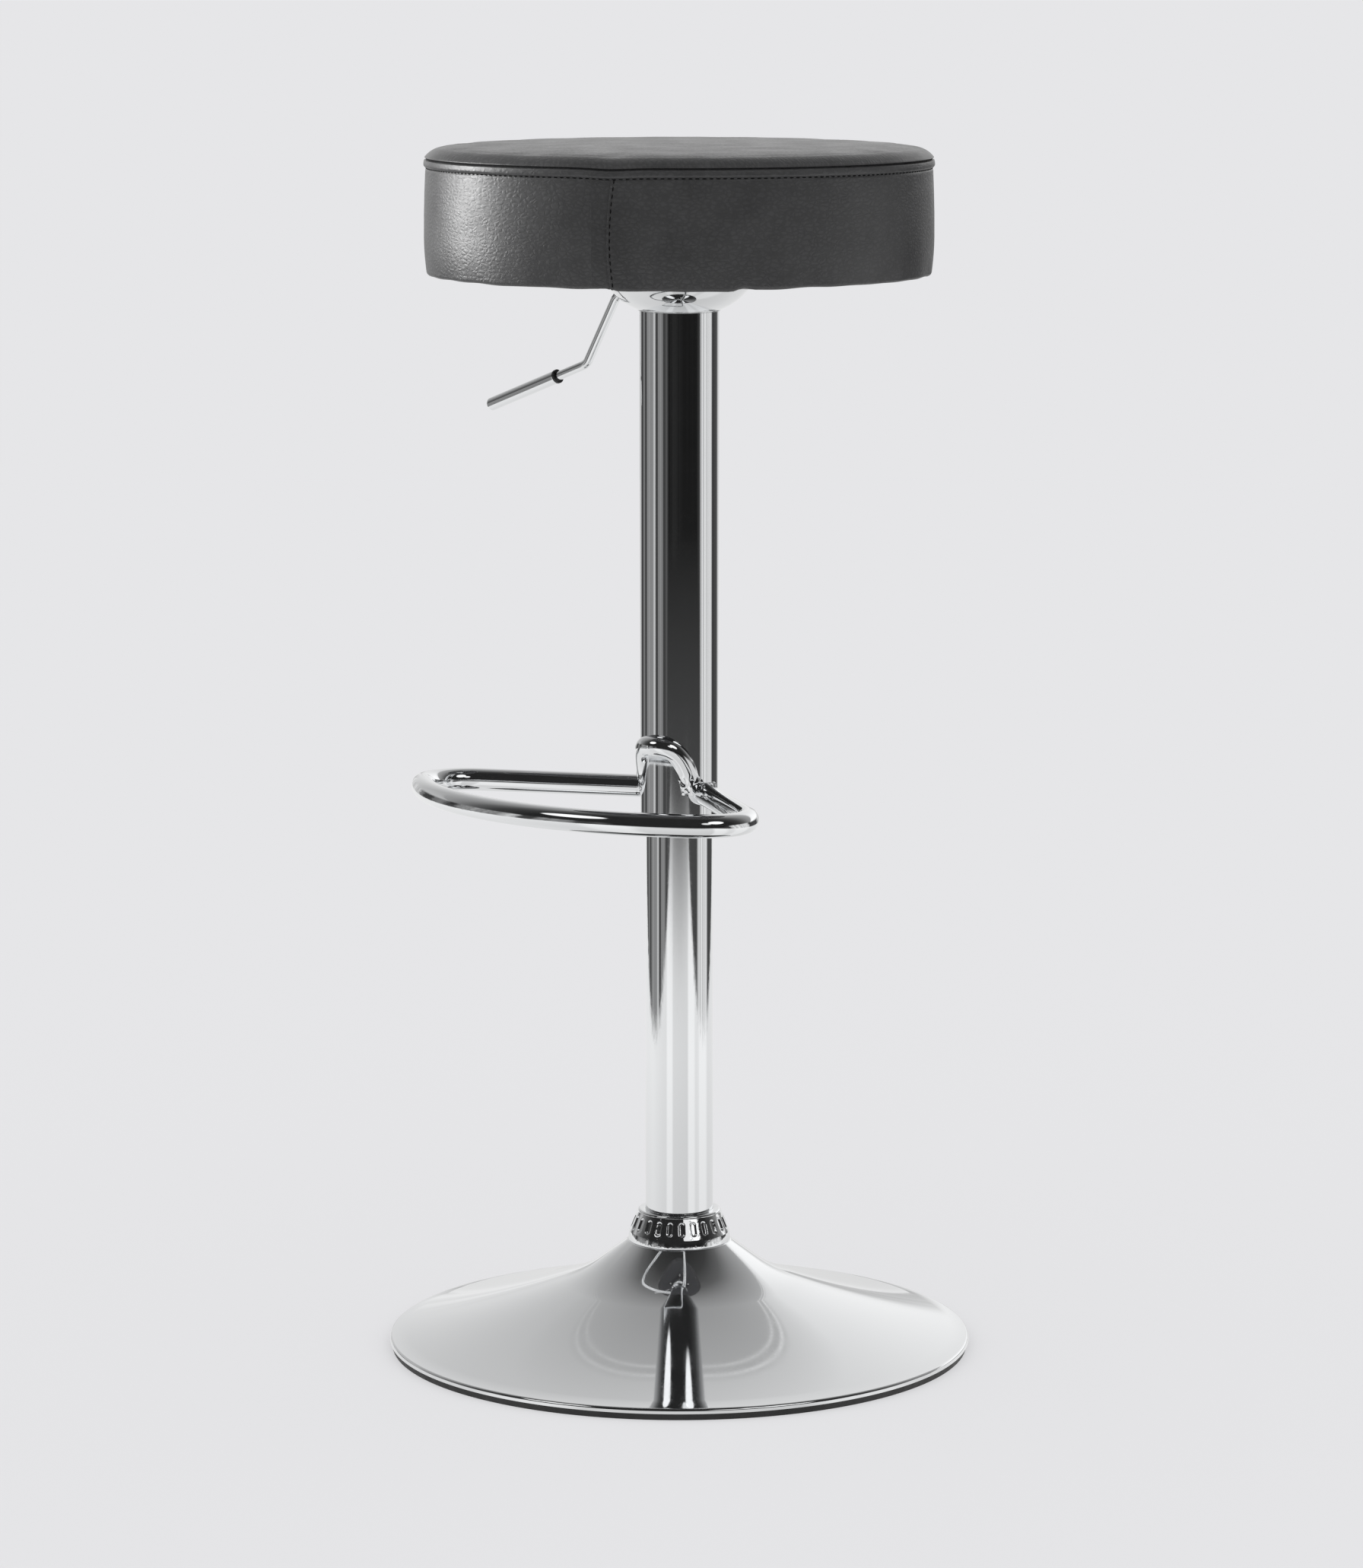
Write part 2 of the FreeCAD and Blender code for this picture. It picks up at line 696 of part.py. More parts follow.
# Piston rod, clipped under the foot plug, with the piston that the cylinder slides over.
clip_top = s.clip_floor + s.clip_wall
bumper_top = bearing_top + s.bumper_height
cylinder_floor = derived("cylinder_floor", bumper_top + s.stroke + s.slide_gap)
piston_floor = derived("piston_floor", cylinder_floor + s.gland_length + s.rest_gap)
piston_top = derived("piston_top", piston_floor + s.piston_length)
piston_rod = turned("piston_rod", None, [
    (0, s.rod_tail_floor),
    (s.rod_tail_radius, s.rod_tail_floor),
    (s.rod_tail_radius, s.clip_floor),
    (s.clip_groove_radius, s.clip_floor),
    (s.clip_groove_radius, clip_top),
    (s.rod_tail_radius, clip_top),
    (s.rod_tail_radius, bearing_top),
    (s.rod_radius, bearing_top),
    (s.rod_radius, piston_floor),
    (s.piston_bore, piston_floor),
    (s.piston_bore, piston_top + s.piston_nut_height),
    (0, piston_top + s.piston_nut_height),
])
retaining_clip = sleeve("retaining_clip", s.clip_floor, s.clip_groove_radius, s.clip_radius, s.clip_wall)
clip_mouth = new_sketch(retaining_clip, "clip_mouth_outline", "XY_Plane")
mouth_half = s.clip_groove_radius * 0.8
draw(clip_mouth, [
    (-mouth_half, 0),
    (mouth_half, 0),
    (mouth_half, s.clip_radius + s.cut_margin),
    (-mouth_half, s.clip_radius + s.cut_margin),
])
extrude(retaining_clip, "Pocket", "clip_mouth", clip_mouth, s.clip_wall * 4, both_ways=True)
rod_end_washer = sleeve(
    "rod_end_washer", clip_top, s.rod_tail_radius, s.bumper_radius, s.foot_plug_floor - s.rest_gap - clip_top
)
rebound_bumper = sleeve("rebound_bumper", bearing_top, s.rod_radius, s.bumper_radius, s.bumper_height)

cylinder_bore = s.cylinder_radius - s.cylinder_wall
piston_radius = cylinder_bore - s.running_gap
seal_floor = (s.piston_length - s.seal_width) * 0.5
seal_bore = piston_radius - s.seal_depth
piston = turned("piston", piston_floor, [
    (s.piston_bore, 0),
    (piston_radius, 0),
    (piston_radius, seal_floor),
    (seal_bore, seal_floor),
    (seal_bore, seal_floor + s.seal_width),
    (piston_radius, seal_floor + s.seal_width),
    (piston_radius, s.piston_length),
    (s.piston_bore, s.piston_length),
])
piston_seal = sleeve("piston_seal", piston_floor + seal_floor, seal_bore, piston_radius, s.seal_width)

piston_nut = new_body("piston_nut", piston_top)
nut_sketch = new_sketch(piston_nut, "piston_nut_outline", "XY_Plane")
nut_flat = s.piston_nut_radius * math.sqrt(0.75)
draw(nut_sketch, [
    (s.piston_nut_radius, 0),
    (s.piston_nut_radius * 0.5, nut_flat),
    (s.piston_nut_radius * -0.5, nut_flat),
    (-s.piston_nut_radius, 0),
    (s.piston_nut_radius * -0.5, -nut_flat),
    (s.piston_nut_radius * 0.5, -nut_flat),
])
draw_circle(nut_sketch, 0, 0, s.piston_bore)
extrude(piston_nut, "Pad", "piston_nut_prism", nut_sketch, s.piston_nut_height)

# Pressure cylinder, which rises and turns with the seat.
cylinder_length = s.cylinder_top - cylinder_floor
taper_radius = s.cylinder_radius - s.taper_step
cylinder_mouth = s.pin_radius + s.rest_gap
pressure_cylinder = turned("pressure_cylinder", cylinder_floor, [
    (cylinder_bore, 0),
    (s.cylinder_radius, 0),
    (s.cylinder_radius, cylinder_length - s.taper_length),
    (taper_radius, cylinder_length),
    (cylinder_mouth, cylinder_length),
    (cylinder_mouth, cylinder_length - s.cylinder_end_wall),
    (cylinder_bore, cylinder_length - s.cylinder_end_wall),
])
cylinder_gland = sleeve(
    "cylinder_gland", cylinder_floor, s.rod_radius + s.running_gap, cylinder_bore, s.gland_length
)
valve_block = sleeve(
    "valve_block",
    s.cylinder_top - s.cylinder_end_wall - s.valve_length,
    s.pin_radius + s.running_gap,
    cylinder_bore,
    s.valve_length,
)
pin_top = derived("pin_top", s.pivot_height - s.lever_radius - s.rest_gap)
release_pin = turned("release_pin", pin_top - s.pin_length, [
    (0, 0),
    (s.pin_radius, 0),
    (s.pin_radius, s.pin_length - s.pin_chamfer),
    (s.pin_radius - s.pin_chamfer, s.pin_length),
    (0, s.pin_length),
])

# Upper column, the cup under the seat and the plate that the seat is bolted to.
upper_bore = s.upper_tube_radius - s.tube_wall
upper_column_tube = sleeve(
    "upper_column_tube",
    s.upper_tube_floor,
    upper_bore,
    s.upper_tube_radius,
    s.upper_tube_top - s.upper_tube_floor,
)
upper_guide_bush = sleeve(
    "upper_guide_bush",
    s.upper_tube_floor + s.guide_inset,
    s.lower_tube_radius + s.running_gap,
    upper_bore,
    s.guide_length,
)
tube_top_ring = sleeve(
    "tube_top_ring", s.upper_tube_top - s.top_ring_wall, s.hub_radius, upper_bore, s.top_ring_wall
)
pan_floor = derived("pan_floor", s.upper_tube_top + s.cup_wall)
hub_floor = s.cylinder_top - s.taper_length
hub_length = pan_floor + s.plate_wall - hub_floor
taper_hub = turned("taper_hub", hub_floor, [
    (s.cylinder_radius, 0),
    (s.hub_radius, 0),
    (s.hub_radius, hub_length),
    (s.cylinder_radius - s.taper_step * hub_length / s.taper_length, hub_length),
])

plate_ceiling = s.seat_floor + s.dust_cover_wall
flange_floor = derived("flange_floor", plate_ceiling - s.plate_wall)
cup_height = flange_floor - s.upper_tube_top
slot_half = s.lever_slot_width * 0.5
bell_cup = turned("bell_cup", s.upper_tube_top, [
    (s.hub_radius, 0),
    (s.cup_lip_radius, 0),
    (s.cup_lip_radius, s.cup_lip_height, s.cup_curve),
    (s.cup_rim_radius, cup_height),
    (s.cup_rim_radius - s.cup_wall, cup_height, s.cup_wall - s.cup_curve),
    (s.cup_lip_radius - s.cup_wall, s.cup_wall),
    (s.hub_radius, s.cup_wall),
])


def lever_slot(body, name, floor, reach):
    """Open the wall on the -X side where the lever passes."""
    sketch = new_sketch(body, name + "_outline", "YZ_Plane")
    low = s.lever_slot_floor - floor
    draw(sketch, [
        (-slot_half, low),
        (slot_half, low),
        (slot_half, low + s.lever_slot_height),
        (-slot_half, low + s.lever_slot_height),
    ])
    return extrude(body, "Pocket", name, sketch, reach)


lever_slot(bell_cup, "cup_slot", s.upper_tube_top, s.cup_rim_radius + s.cut_margin)

flange_rise = flange_floor - pan_floor
slope_wall = s.plate_wall * 0.9
seat_plate = turned("seat_plate", pan_floor, [
    (s.hub_radius, 0),
    (s.pan_floor_radius, 0),
    (s.pan_knee_radius, s.pan_knee_height),
    (s.pan_mouth_radius, flange_rise),
    (s.pan_mouth_radius + s.pan_lap, flange_rise),
    (s.pan_mouth_radius + s.pan_lap, flange_rise + s.plate_wall),
    (s.pan_mouth_radius - slope_wall, flange_rise + s.plate_wall),
    (s.pan_knee_radius - slope_wall, s.pan_knee_height + slope_wall * 0.5),
    (s.pan_floor_radius - slope_wall * 0.5, s.plate_wall),
    (s.hub_radius, s.plate_wall),
])
flange_sketch = new_sketch(seat_plate, "plate_flange_outline", "XY_Plane")
bind(flange_sketch, "AttachmentOffset.Base.z", flange_rise)
side = s.plate_width * 0.5
inset = side - s.plate_corner
draw(flange_sketch, [
    (side, -inset),
    (side, inset, s.plate_corner),
    (inset, side),
    (-inset, side, s.plate_corner),
    (-side, inset),
    (-side, -inset, s.plate_corner),
    (-inset, -side),
    (inset, -side, s.plate_corner),
])
draw_circle(flange_sketch, 0, 0, s.pan_mouth_radius + s.pan_lap * 0.5)
extrude(seat_plate, "Pad", "plate_flange", flange_sketch, s.plate_wall)
seat_bolt_line = (s.seat_screw_pitch * 0.5, s.seat_screw_pitch * 0.5)
seat_bolt_count = 4
flange_hole = cut_turn(
    seat_plate,
    "plate_screw_hole",
    cylinder_cut(s.seat_screw_radius + s.rest_gap, flange_rise, flange_rise + s.plate_wall),
    seat_bolt_line,
)
repeat_round(seat_plate, flange_hole, seat_bolt_count, "plate_screw_holes")
lever_slot(seat_plate, "pan_slot", pan_floor, s.pan_mouth_radius - slope_wall)

# Lever: a bent rod on a cross pin, whose inner end presses the release pin.
bracket_floor = pan_floor + s.plate_wall
ear_inner = s.boss_length * 0.5 + s.rest_gap
ear_outer = ear_inner + s.ear_wall
lever_bracket = new_body("lever_bracket", bracket_floor)
bind(lever_bracket, "Placement.Base.x", -s.pivot_reach)
ear_sketch = new_sketch(lever_bracket, "lever_bracket_outline", "YZ_Plane")
draw(ear_sketch, [
    (-ear_outer, 0),
    (ear_outer, 0),
    (ear_outer, s.ear_height),
    (ear_inner, s.ear_height),
    (ear_inner, s.ear_floor_wall),
    (-ear_inner, s.ear_floor_wall),
    (-ear_inner, s.ear_height),
    (-ear_outer, s.ear_height),
])
extrude(lever_bracket, "Pad", "lever_bracket_fold", ear_sketch, s.ear_width, both_ways=True)
ear_hole = new_sketch(lever_bracket, "ear_hole_outline", "XZ_Plane")
draw_circle(ear_hole, 0, s.pivot_rise, s.pivot_radius)
extrude(lever_bracket, "Pocket", "ear_hole", ear_hole, ear_outer * 4, both_ways=True)

pivot_end = ear_outer + s.pivot_head_wall
lever_pivot_pin = turned("lever_pivot_pin", None, [
    (0, -pivot_end),
    (s.pivot_head_radius, -pivot_end),
    (s.pivot_head_radius, -ear_outer),
    (s.pivot_radius, -ear_outer),
    (s.pivot_radius, ear_outer),
    (s.pivot_head_radius, ear_outer),
    (s.pivot_head_radius, pivot_end),
    (0, pivot_end),
])
lever_pivot_pin.Placement = FreeCAD.Placement(
    FreeCAD.Vector(), FreeCAD.Rotation(FreeCAD.Vector(1, 0, 0), QUARTER_TURN)
)
bind(lever_pivot_pin, "Placement.Base.x", -s.pivot_reach)
bind(lever_pivot_pin, "Placement.Base.z", s.pivot_height)

slope_cos = cosine(s.grip_slope)
slope_sin = sine(s.grip_slope)
rod_run = s.grip_start + s.grip_length - s.rod_end_gap
nose = (s.nose_reach, s.pivot_height)
pivot = (-s.pivot_reach, s.pivot_height)
shoulder = (-s.shoulder_reach, s.shoulder_height)
elbow = (-s.elbow_reach, s.elbow_height)
rod_end = (elbow[0] - rod_run * slope_cos, elbow[1] - rod_run * slope_sin)
lever_rod = new_body("lever_rod")
rod_path = new_sketch(lever_rod, "lever_path", "XZ_Plane")
draw(
    rod_path,
    [nose]
    + bend("pivot_bend", nose, pivot, shoulder, s.pivot_bend)
    + bend("shoulder_bend", pivot, shoulder, elbow, s.lever_bend)
    + bend("elbow_bend", shoulder, elbow, rod_end, s.lever_bend)
    + [rod_end],
    closed=False,
)
rod_section = new_sketch(lever_rod, "lever_section", "YZ_Plane")
bind(rod_section, "AttachmentOffset.Base.z", s.nose_reach)
draw_circle(rod_section, 0, s.pivot_height, s.lever_radius)
rod_sweep = lever_rod.newObject("PartDesign::AdditivePipe", "lever_sweep")
rod_sweep.Profile = rod_section
rod_sweep.Spine = rod_path
lever_rod.Tip = rod_sweep
boss_sketch = new_sketch(lever_rod, "lever_boss_outline", "XZ_Plane")
draw_circle(boss_sketch, -s.pivot_reach, s.pivot_height, s.boss_radius)
extrude(lever_rod, "Pad", "lever_boss", boss_sketch, s.boss_length, both_ways=True)
boss_hole = new_sketch(lever_rod, "lever_boss_hole_outline", "XZ_Plane")
draw_circle(boss_hole, -s.pivot_reach, s.pivot_height, s.pivot_radius + s.running_gap)
extrude(lever_rod, "Pocket", "lever_boss_hole", boss_hole, s.boss_length * 2, both_ways=True)


def along_grip(body, start):
    """Stand a turned body on the outer stretch of the lever, a distance past the elbow."""
    body.Placement = FreeCAD.Placement(FreeCAD.Vector(), FreeCAD.Rotation(FreeCAD.Vector(0, -1, 0), 110.0))
    bind(body, "Placement.Rotation.Angle", QUARTER_TURN + s.grip_slope)
    bind(body, "Placement.Base.x", elbow[0] - start * slope_cos)
    bind(body, "Placement.Base.z", elbow[1] - start * slope_sin)


grip_bore = s.grip_radius - s.grip_wall
lever_grip = turned("lever_grip", None, [
    (grip_bore, 0),
    (s.grip_radius, 0),
    (s.grip_radius, s.grip_length - s.grip_round, s.grip_round),
    (s.grip_radius - s.grip_round, s.grip_length),
    (0, s.grip_length),
    (0, s.grip_length - s.grip_end_wall),
    (grip_bore, s.grip_length - s.grip_end_wall),
])
along_grip(lever_grip, s.grip_start)
insert_length = s.grip_lip + s.grip_length - s.rod_end_gap
grip_insert = turned("grip_insert", None, [
    (s.lever_radius, 0),
    (s.grip_lip_radius, 0),
    (s.grip_lip_radius, s.grip_lip),
    (grip_bore, s.grip_lip),
    (grip_bore, insert_length),
    (s.lever_radius, insert_length),
])
along_grip(grip_insert, s.grip_start - s.grip_lip)

# Footrest: one bent tube, drawn as a half and mirrored, with its ends mitred to the column.
front_centre = s.ring_reach - s.ring_front_radius
leg_sin = derived("leg_sin", sine(s.ring_leg_angle))
leg_cos = derived("leg_cos", cosine(s.ring_leg_angle))
inner_radius = s.ring_front_radius - s.ring_corner_radius
offset_u = derived("offset_u", leg_sin * s.ring_corner_radius - s.ring_leg_cross - front_centre)
offset_v = derived("offset_v", -(leg_cos * s.ring_corner_radius))
along = derived("along", offset_u * leg_cos + offset_v * leg_sin)
square = offset_u * offset_u + offset_v * offset_v - inner_radius * inner_radius
leg_run = derived("leg_run", root(along * along - square) - along)
corner_u = derived("corner_u", offset_u + leg_run * leg_cos)
corner_v = derived("corner_v", offset_v + leg_run * leg_sin)
stretch = s.ring_front_radius / inner_radius
leg_end = (leg_run * leg_sin, s.ring_leg_cross - leg_run * leg_cos)
corner_end = (corner_v * stretch, -front_centre - corner_u * stretch)
leg_start_run = s.ring_leg_cross * leg_cos + s.hub_radius * 0.5
leg_start = (leg_start_run * leg_sin, s.ring_leg_cross - leg_start_run * leg_cos)

footrest_ring = new_body("footrest_ring", s.ring_height)
ring_path = new_sketch(footrest_ring, "ring_path", "XY_Plane")
draw(
    ring_path,
    [
        (0, -s.ring_reach, s.ring_front_radius),
        (corner_end[0], corner_end[1], s.ring_corner_radius),
        leg_end,
        leg_start,
    ],
    closed=False,
)
ring_section = new_sketch(footrest_ring, "ring_section", "YZ_Plane")
draw_circle(ring_section, -s.ring_reach, 0, s.ring_tube_radius)
draw_circle(ring_section, -s.ring_reach, 0, s.ring_tube_radius - s.ring_tube_wall)
ring_sweep = footrest_ring.newObject("PartDesign::AdditivePipe", "ring_half")
ring_sweep.Profile = ring_section
ring_sweep.Spine = ring_path
footrest_ring.Tip = ring_sweep
ring_mirror = footrest_ring.newObject("PartDesign::Mirrored", "ring_mirror")
ring_mirror.Originals = [ring_sweep]
ring_mirror.MirrorPlane = (origin_feature(footrest_ring, "YZ_Plane"), [""])
footrest_ring.Tip = ring_mirror
mitre_sketch = new_sketch(footrest_ring, "mitre_outline", "XY_Plane")
mitre_sketch.AttachmentOffset = FreeCAD.Placement(
    FreeCAD.Vector(), FreeCAD.Rotation(FreeCAD.Vector(1, 0, 0), 1.0)
)
bind(mitre_sketch, "AttachmentOffset.Rotation.Angle", s.ring_tilt)
draw_circle(mitre_sketch, 0, 0, s.upper_tube_radius)
extrude(footrest_ring, "Pocket", "ring_mitre", mitre_sketch, s.ring_tube_radius * 8, both_ways=True)
footrest_ring.Placement = FreeCAD.Placement(
    FreeCAD.Vector(), FreeCAD.Rotation(FreeCAD.Vector(-1, 0, 0), 1.0)
)
bind(footrest_ring, "Placement.Rotation.Angle", s.ring_tilt)


# Seat: a plywood board and a foam cushion in a two-part cover, closed below by a dust cover.
wall = s.cover_wall
crown_floor = s.seat_height - s.crown_drop
crown_run = s.crown_radius - s.crown_flat
crown_curve = derived("crown_curve", (crown_run * crown_run + s.crown_drop * s.crown_drop) / (s.crown_drop * 2))
cover_side_band = turned("cover_side_band", s.seat_floor, [
    (s.hem_radius, 0),
    (s.seat_radius - s.hem_corner, 0, s.hem_corner),
    (s.seat_radius, s.hem_corner, s.side_curve),
    (s.bulge_radius, s.bulge_rise, s.waist_curve),
    (s.waist_radius, s.waist_rise),
    (s.crease_radius, s.crease_rise - s.crease_half),
    (s.crease_radius - s.crease_depth, s.crease_rise),
    (s.crease_radius - wall, s.crease_rise),
    (s.waist_radius - wall, s.waist_rise, wall - s.waist_curve),
    (s.bulge_radius - wall, s.bulge_rise, wall - s.side_curve),
    (s.seat_radius - wall, s.hem_corner, wall - s.hem_corner),
    (s.seat_radius - s.hem_corner, wall),
    (s.hem_radius, wall),
])
cover_top_panel = turned("cover_top_panel", s.seat_floor, [
    (s.crease_radius - wall, s.crease_rise),
    (s.crease_radius - s.crease_depth, s.crease_rise),
    (s.crease_radius, s.crease_rise + s.crease_half, s.shoulder_curve),
    (s.crown_radius, crown_floor, crown_curve),
    (s.crown_flat, s.seat_height),
    (0, s.seat_height),
    (0, s.seat_height - wall),
    (s.crown_flat, s.seat_height - wall, wall - crown_curve),
    (s.crown_radius, crown_floor - wall, wall - s.shoulder_curve),
    (s.crease_radius - wall, s.crease_rise + s.crease_half),
])
board_top = wall + s.board_wall
seat_foam = turned("seat_foam", s.seat_floor, [
    (s.board_radius, wall),
    (s.seat_radius - s.hem_corner, wall, s.hem_corner - wall),
    (s.seat_radius - wall, s.hem_corner, s.side_curve - wall),
    (s.bulge_radius - wall, s.bulge_rise, s.waist_curve - wall),
    (s.waist_radius - wall, s.waist_rise),
    (s.crease_radius - wall, s.crease_rise),
    (s.crease_radius - wall, s.crease_rise + s.crease_half, s.shoulder_curve - wall),
    (s.crown_radius, crown_floor - wall, crown_curve - wall),
    (s.crown_flat, s.seat_height - wall),
    (0, s.seat_height - wall),
    (0, board_top),
    (s.board_radius, board_top),
])

seat_board = sleeve("seat_board", s.seat_floor + wall, 0, s.board_radius, s.board_wall)
counterbore_floor = s.board_wall - s.tnut_flange_wall
nut_hole = cut_turn(
    seat_board,
    "nut_hole",
    [
        (0, 0),
        (s.tnut_barrel_radius, 0),
        (s.tnut_barrel_radius, counterbore_floor),
        (s.tnut_flange_radius, counterbore_floor),
        (s.tnut_flange_radius, s.board_wall),
        (0, s.board_wall),
    ],
    seat_bolt_line,
)
repeat_round(seat_board, nut_hole, seat_bolt_count, "nut_hole_ring")

barrel_floor = s.board_wall - s.tnut_length
t_nuts = new_body("t_nuts", s.seat_floor + wall)
t_nut = turn(t_nuts, "t_nut", [
    (s.seat_screw_radius, barrel_floor),
    (s.tnut_barrel_radius, barrel_floor),
    (s.tnut_barrel_radius, counterbore_floor),
    (s.tnut_flange_radius, counterbore_floor),
    (s.tnut_flange_radius, s.board_wall),
    (s.seat_screw_radius, s.board_wall),
], seat_bolt_line)
repeat_round(t_nuts, t_nut, seat_bolt_count, "t_nut_ring")

seat_washers = new_body("seat_washers", flange_floor - s.seat_washer_wall)
seat_washer = turn(seat_washers, "seat_washer", [
    (s.seat_screw_radius, 0),
    (s.seat_washer_radius, 0),
    (s.seat_washer_radius, s.seat_washer_wall),
    (s.seat_screw_radius, s.seat_washer_wall),
], seat_bolt_line)
repeat_round(seat_washers, seat_washer, seat_bolt_count, "seat_washer_ring")

screw_head_floor = flange_floor - s.seat_washer_wall - s.seat_screw_head_height
screw_top = s.seat_floor + board_top - s.tnut_flange_wall - screw_head_floor
seat_screws = new_body("seat_screws", screw_head_floor)
seat_screw = turn(seat_screws, "seat_screw", [
    (0, 0),
    (s.seat_screw_head_radius - s.head_round, 0, s.head_round),
    (s.seat_screw_head_radius, s.head_round),
    (s.seat_screw_head_radius, s.seat_screw_head_height),
    (s.seat_screw_radius, s.seat_screw_head_height),
    (s.seat_screw_radius, screw_top),
    (0, screw_top),
], seat_bolt_line)
repeat_round(seat_screws, seat_screw, seat_bolt_count, "seat_screw_ring")

cloth = s.dust_cover_wall
step_radius = s.hem_radius - s.dust_cover_step
dust_cover = turned("dust_cover", s.seat_floor, [
    (0, wall - cloth),
    (s.dust_cover_flat, wall - cloth),
    (step_radius, -cloth),
    (s.dust_cover_radius, -cloth),
    (s.dust_cover_radius, 0),
    (step_radius, 0),
    (s.dust_cover_flat, wall),
    (0, wall),
])
dust_cover_hole = cut_turn(
    dust_cover,
    "dust_cover_hole",
    cylinder_cut(s.seat_screw_radius + s.rest_gap, wall - cloth, wall),
    seat_bolt_line,
)
repeat_round(dust_cover, dust_cover_hole, seat_bolt_count, "dust_cover_holes")

staples = new_body("staples", s.seat_floor - cloth - s.staple_wire)
staple_sketch = new_sketch(staples, "staple_outline", "XY_Plane")
staple_half = s.staple_width * 0.5
draw(staple_sketch, [
    (s.staple_circle, -staple_half),
    (s.staple_circle + s.staple_depth, -staple_half),
    (s.staple_circle + s.staple_depth, staple_half),
    (s.staple_circle, staple_half),
])
staple = extrude(staples, "Pad", "staple", staple_sketch, s.staple_wire)
repeat_round(staples, staple, s.staple_count, "staple_ring")

doc.recompute()


def sheet_size(alias):
    """A size as the sheet holds it after the recompute."""
    return float(sheet.get(alias))


def saddle_point(share):
    """A point on the saddle's centre line; share runs from -1 at one foot to 1 at the other."""
    azimuth = math.radians(sheet_size("saddle_turn") + sheet_size("saddle_foot_angle") * share)
    foot_share = abs(share) ** 1.5
    reach = sheet_size("saddle_apex_reach") * (1 - foot_share) + sheet_size("saddle_foot_reach") * foot_share
    foot_height = sheet_size("saddle_foot_height")
    height = foot_height + (sheet_size("saddle_rise") - foot_height) * (1 - abs(share) ** 2.8)
    return FreeCAD.Vector(reach * math.sin(azimuth), -reach * math.cos(azimuth), height)


def saddle_shape():
    """A tube bent over the front of the column, cut to the column and to the footrest bars."""
    centre_line = Part.BSplineCurve()
    centre_line.interpolate([saddle_point(step / 10) for step in range(-10, 11)])
    start = centre_line.value(centre_line.FirstParameter)
    direction = centre_line.tangent(centre_line.FirstParameter)[0]
    section = Part.Wire([Part.makeCircle(sheet_size("saddle_tube_radius"), start, direction)])
    arch = Part.Wire([centre_line.toShape()]).makePipeShell([section], True, False)
    reach = sheet_size("ring_height") * 0.5
    column = Part.makeCylinder(sheet_size("upper_tube_radius"), reach, FreeCAD.Vector(0, 0, -reach * 0.5))
    arch = arch.cut(column)
    for side_sign in (1, -1):
        angle = math.radians(sheet_size("ring_leg_angle"))
        crossing = FreeCAD.Vector(0, sheet_size("ring_leg_cross"), 0)
        heading = FreeCAD.Vector(side_sign * math.sin(angle), -math.cos(angle), 0)
        bar = Part.makeCylinder(sheet_size("ring_tube_radius"), reach, crossing, heading)
        bar.rotate(FreeCAD.Vector(), FreeCAD.Vector(-1, 0, 0), sheet_size("ring_tilt"))
        arch = arch.cut(bar)
    return max(arch.Solids, key=lambda solid: solid.Volume)


# The saddle follows a curve in space, which a sketch cannot hold.
footrest_saddle = doc.addObject("Part::Feature", "footrest_saddle")
footrest_saddle.Label = "footrest_saddle"
footrest_saddle.Shape = saddle_shape()
bind(footrest_saddle, "Placement.Base.z", s.ring_height)

doc.recompute()

problems = []
for item in doc.Objects:
    if "Invalid" in item.State or "Error" in item.State:
        problems.append(f"{item.Name}: {item.State}")

nodes = [item for item in doc.Objects if item.TypeId == "PartDesign::Body"] + [footrest_saddle]
for node in nodes:
    if node.Shape.isNull() or not node.Shape.isValid() or not node.Shape.Solids:
        problems.append(f"{node.Label}: no valid solid")

if problems:
    raise RuntimeError("; ".join(problems))

os.makedirs("parts", exist_ok=True)
for node in nodes:
    node.Shape.exportStep(f"parts/{node.Label}.step")
    box = node.Shape.BoundBox
    print(
        f"{node.Label}: {len(node.Shape.Solids)} solid(s), {node.Shape.Volume / 1000:.1f} cm3, "
        f"z {box.ZMin:.2f} to {box.ZMax:.2f}"
    )
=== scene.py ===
"""The visible pieces of a swivelling bar stool over its CAD frame, with their finishes, the stage and the camera."""

import math

import bmesh
import bpy
import numpy as np
from mathutils import Matrix, Vector, noise


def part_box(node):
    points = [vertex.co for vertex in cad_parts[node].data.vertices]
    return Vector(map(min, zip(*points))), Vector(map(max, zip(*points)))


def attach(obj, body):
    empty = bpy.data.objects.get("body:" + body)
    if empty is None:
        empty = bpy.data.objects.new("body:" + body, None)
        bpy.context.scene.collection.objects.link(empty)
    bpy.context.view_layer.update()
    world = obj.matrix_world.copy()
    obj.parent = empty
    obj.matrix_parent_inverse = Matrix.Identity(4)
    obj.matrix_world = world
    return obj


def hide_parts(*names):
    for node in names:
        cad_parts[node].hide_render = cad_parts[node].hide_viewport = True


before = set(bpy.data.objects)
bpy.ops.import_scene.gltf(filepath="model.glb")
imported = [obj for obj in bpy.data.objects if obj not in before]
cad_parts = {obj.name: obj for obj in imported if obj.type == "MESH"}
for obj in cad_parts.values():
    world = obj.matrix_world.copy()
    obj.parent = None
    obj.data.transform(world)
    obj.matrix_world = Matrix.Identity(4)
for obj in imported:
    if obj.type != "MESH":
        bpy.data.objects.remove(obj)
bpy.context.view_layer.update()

bl_info = {
    "name": "Bar Stool",
    "version": (1, 0, 0),
    "blender": (4, 5, 0),
    "location": "View3D > Sidebar > Bar Stool",
    "description": "Builds the visible pieces of a swivelling bar stool over its CAD frame",
    "category": "Add Mesh",
}

MM = 0.001
FULL_TURN = 2 * math.pi

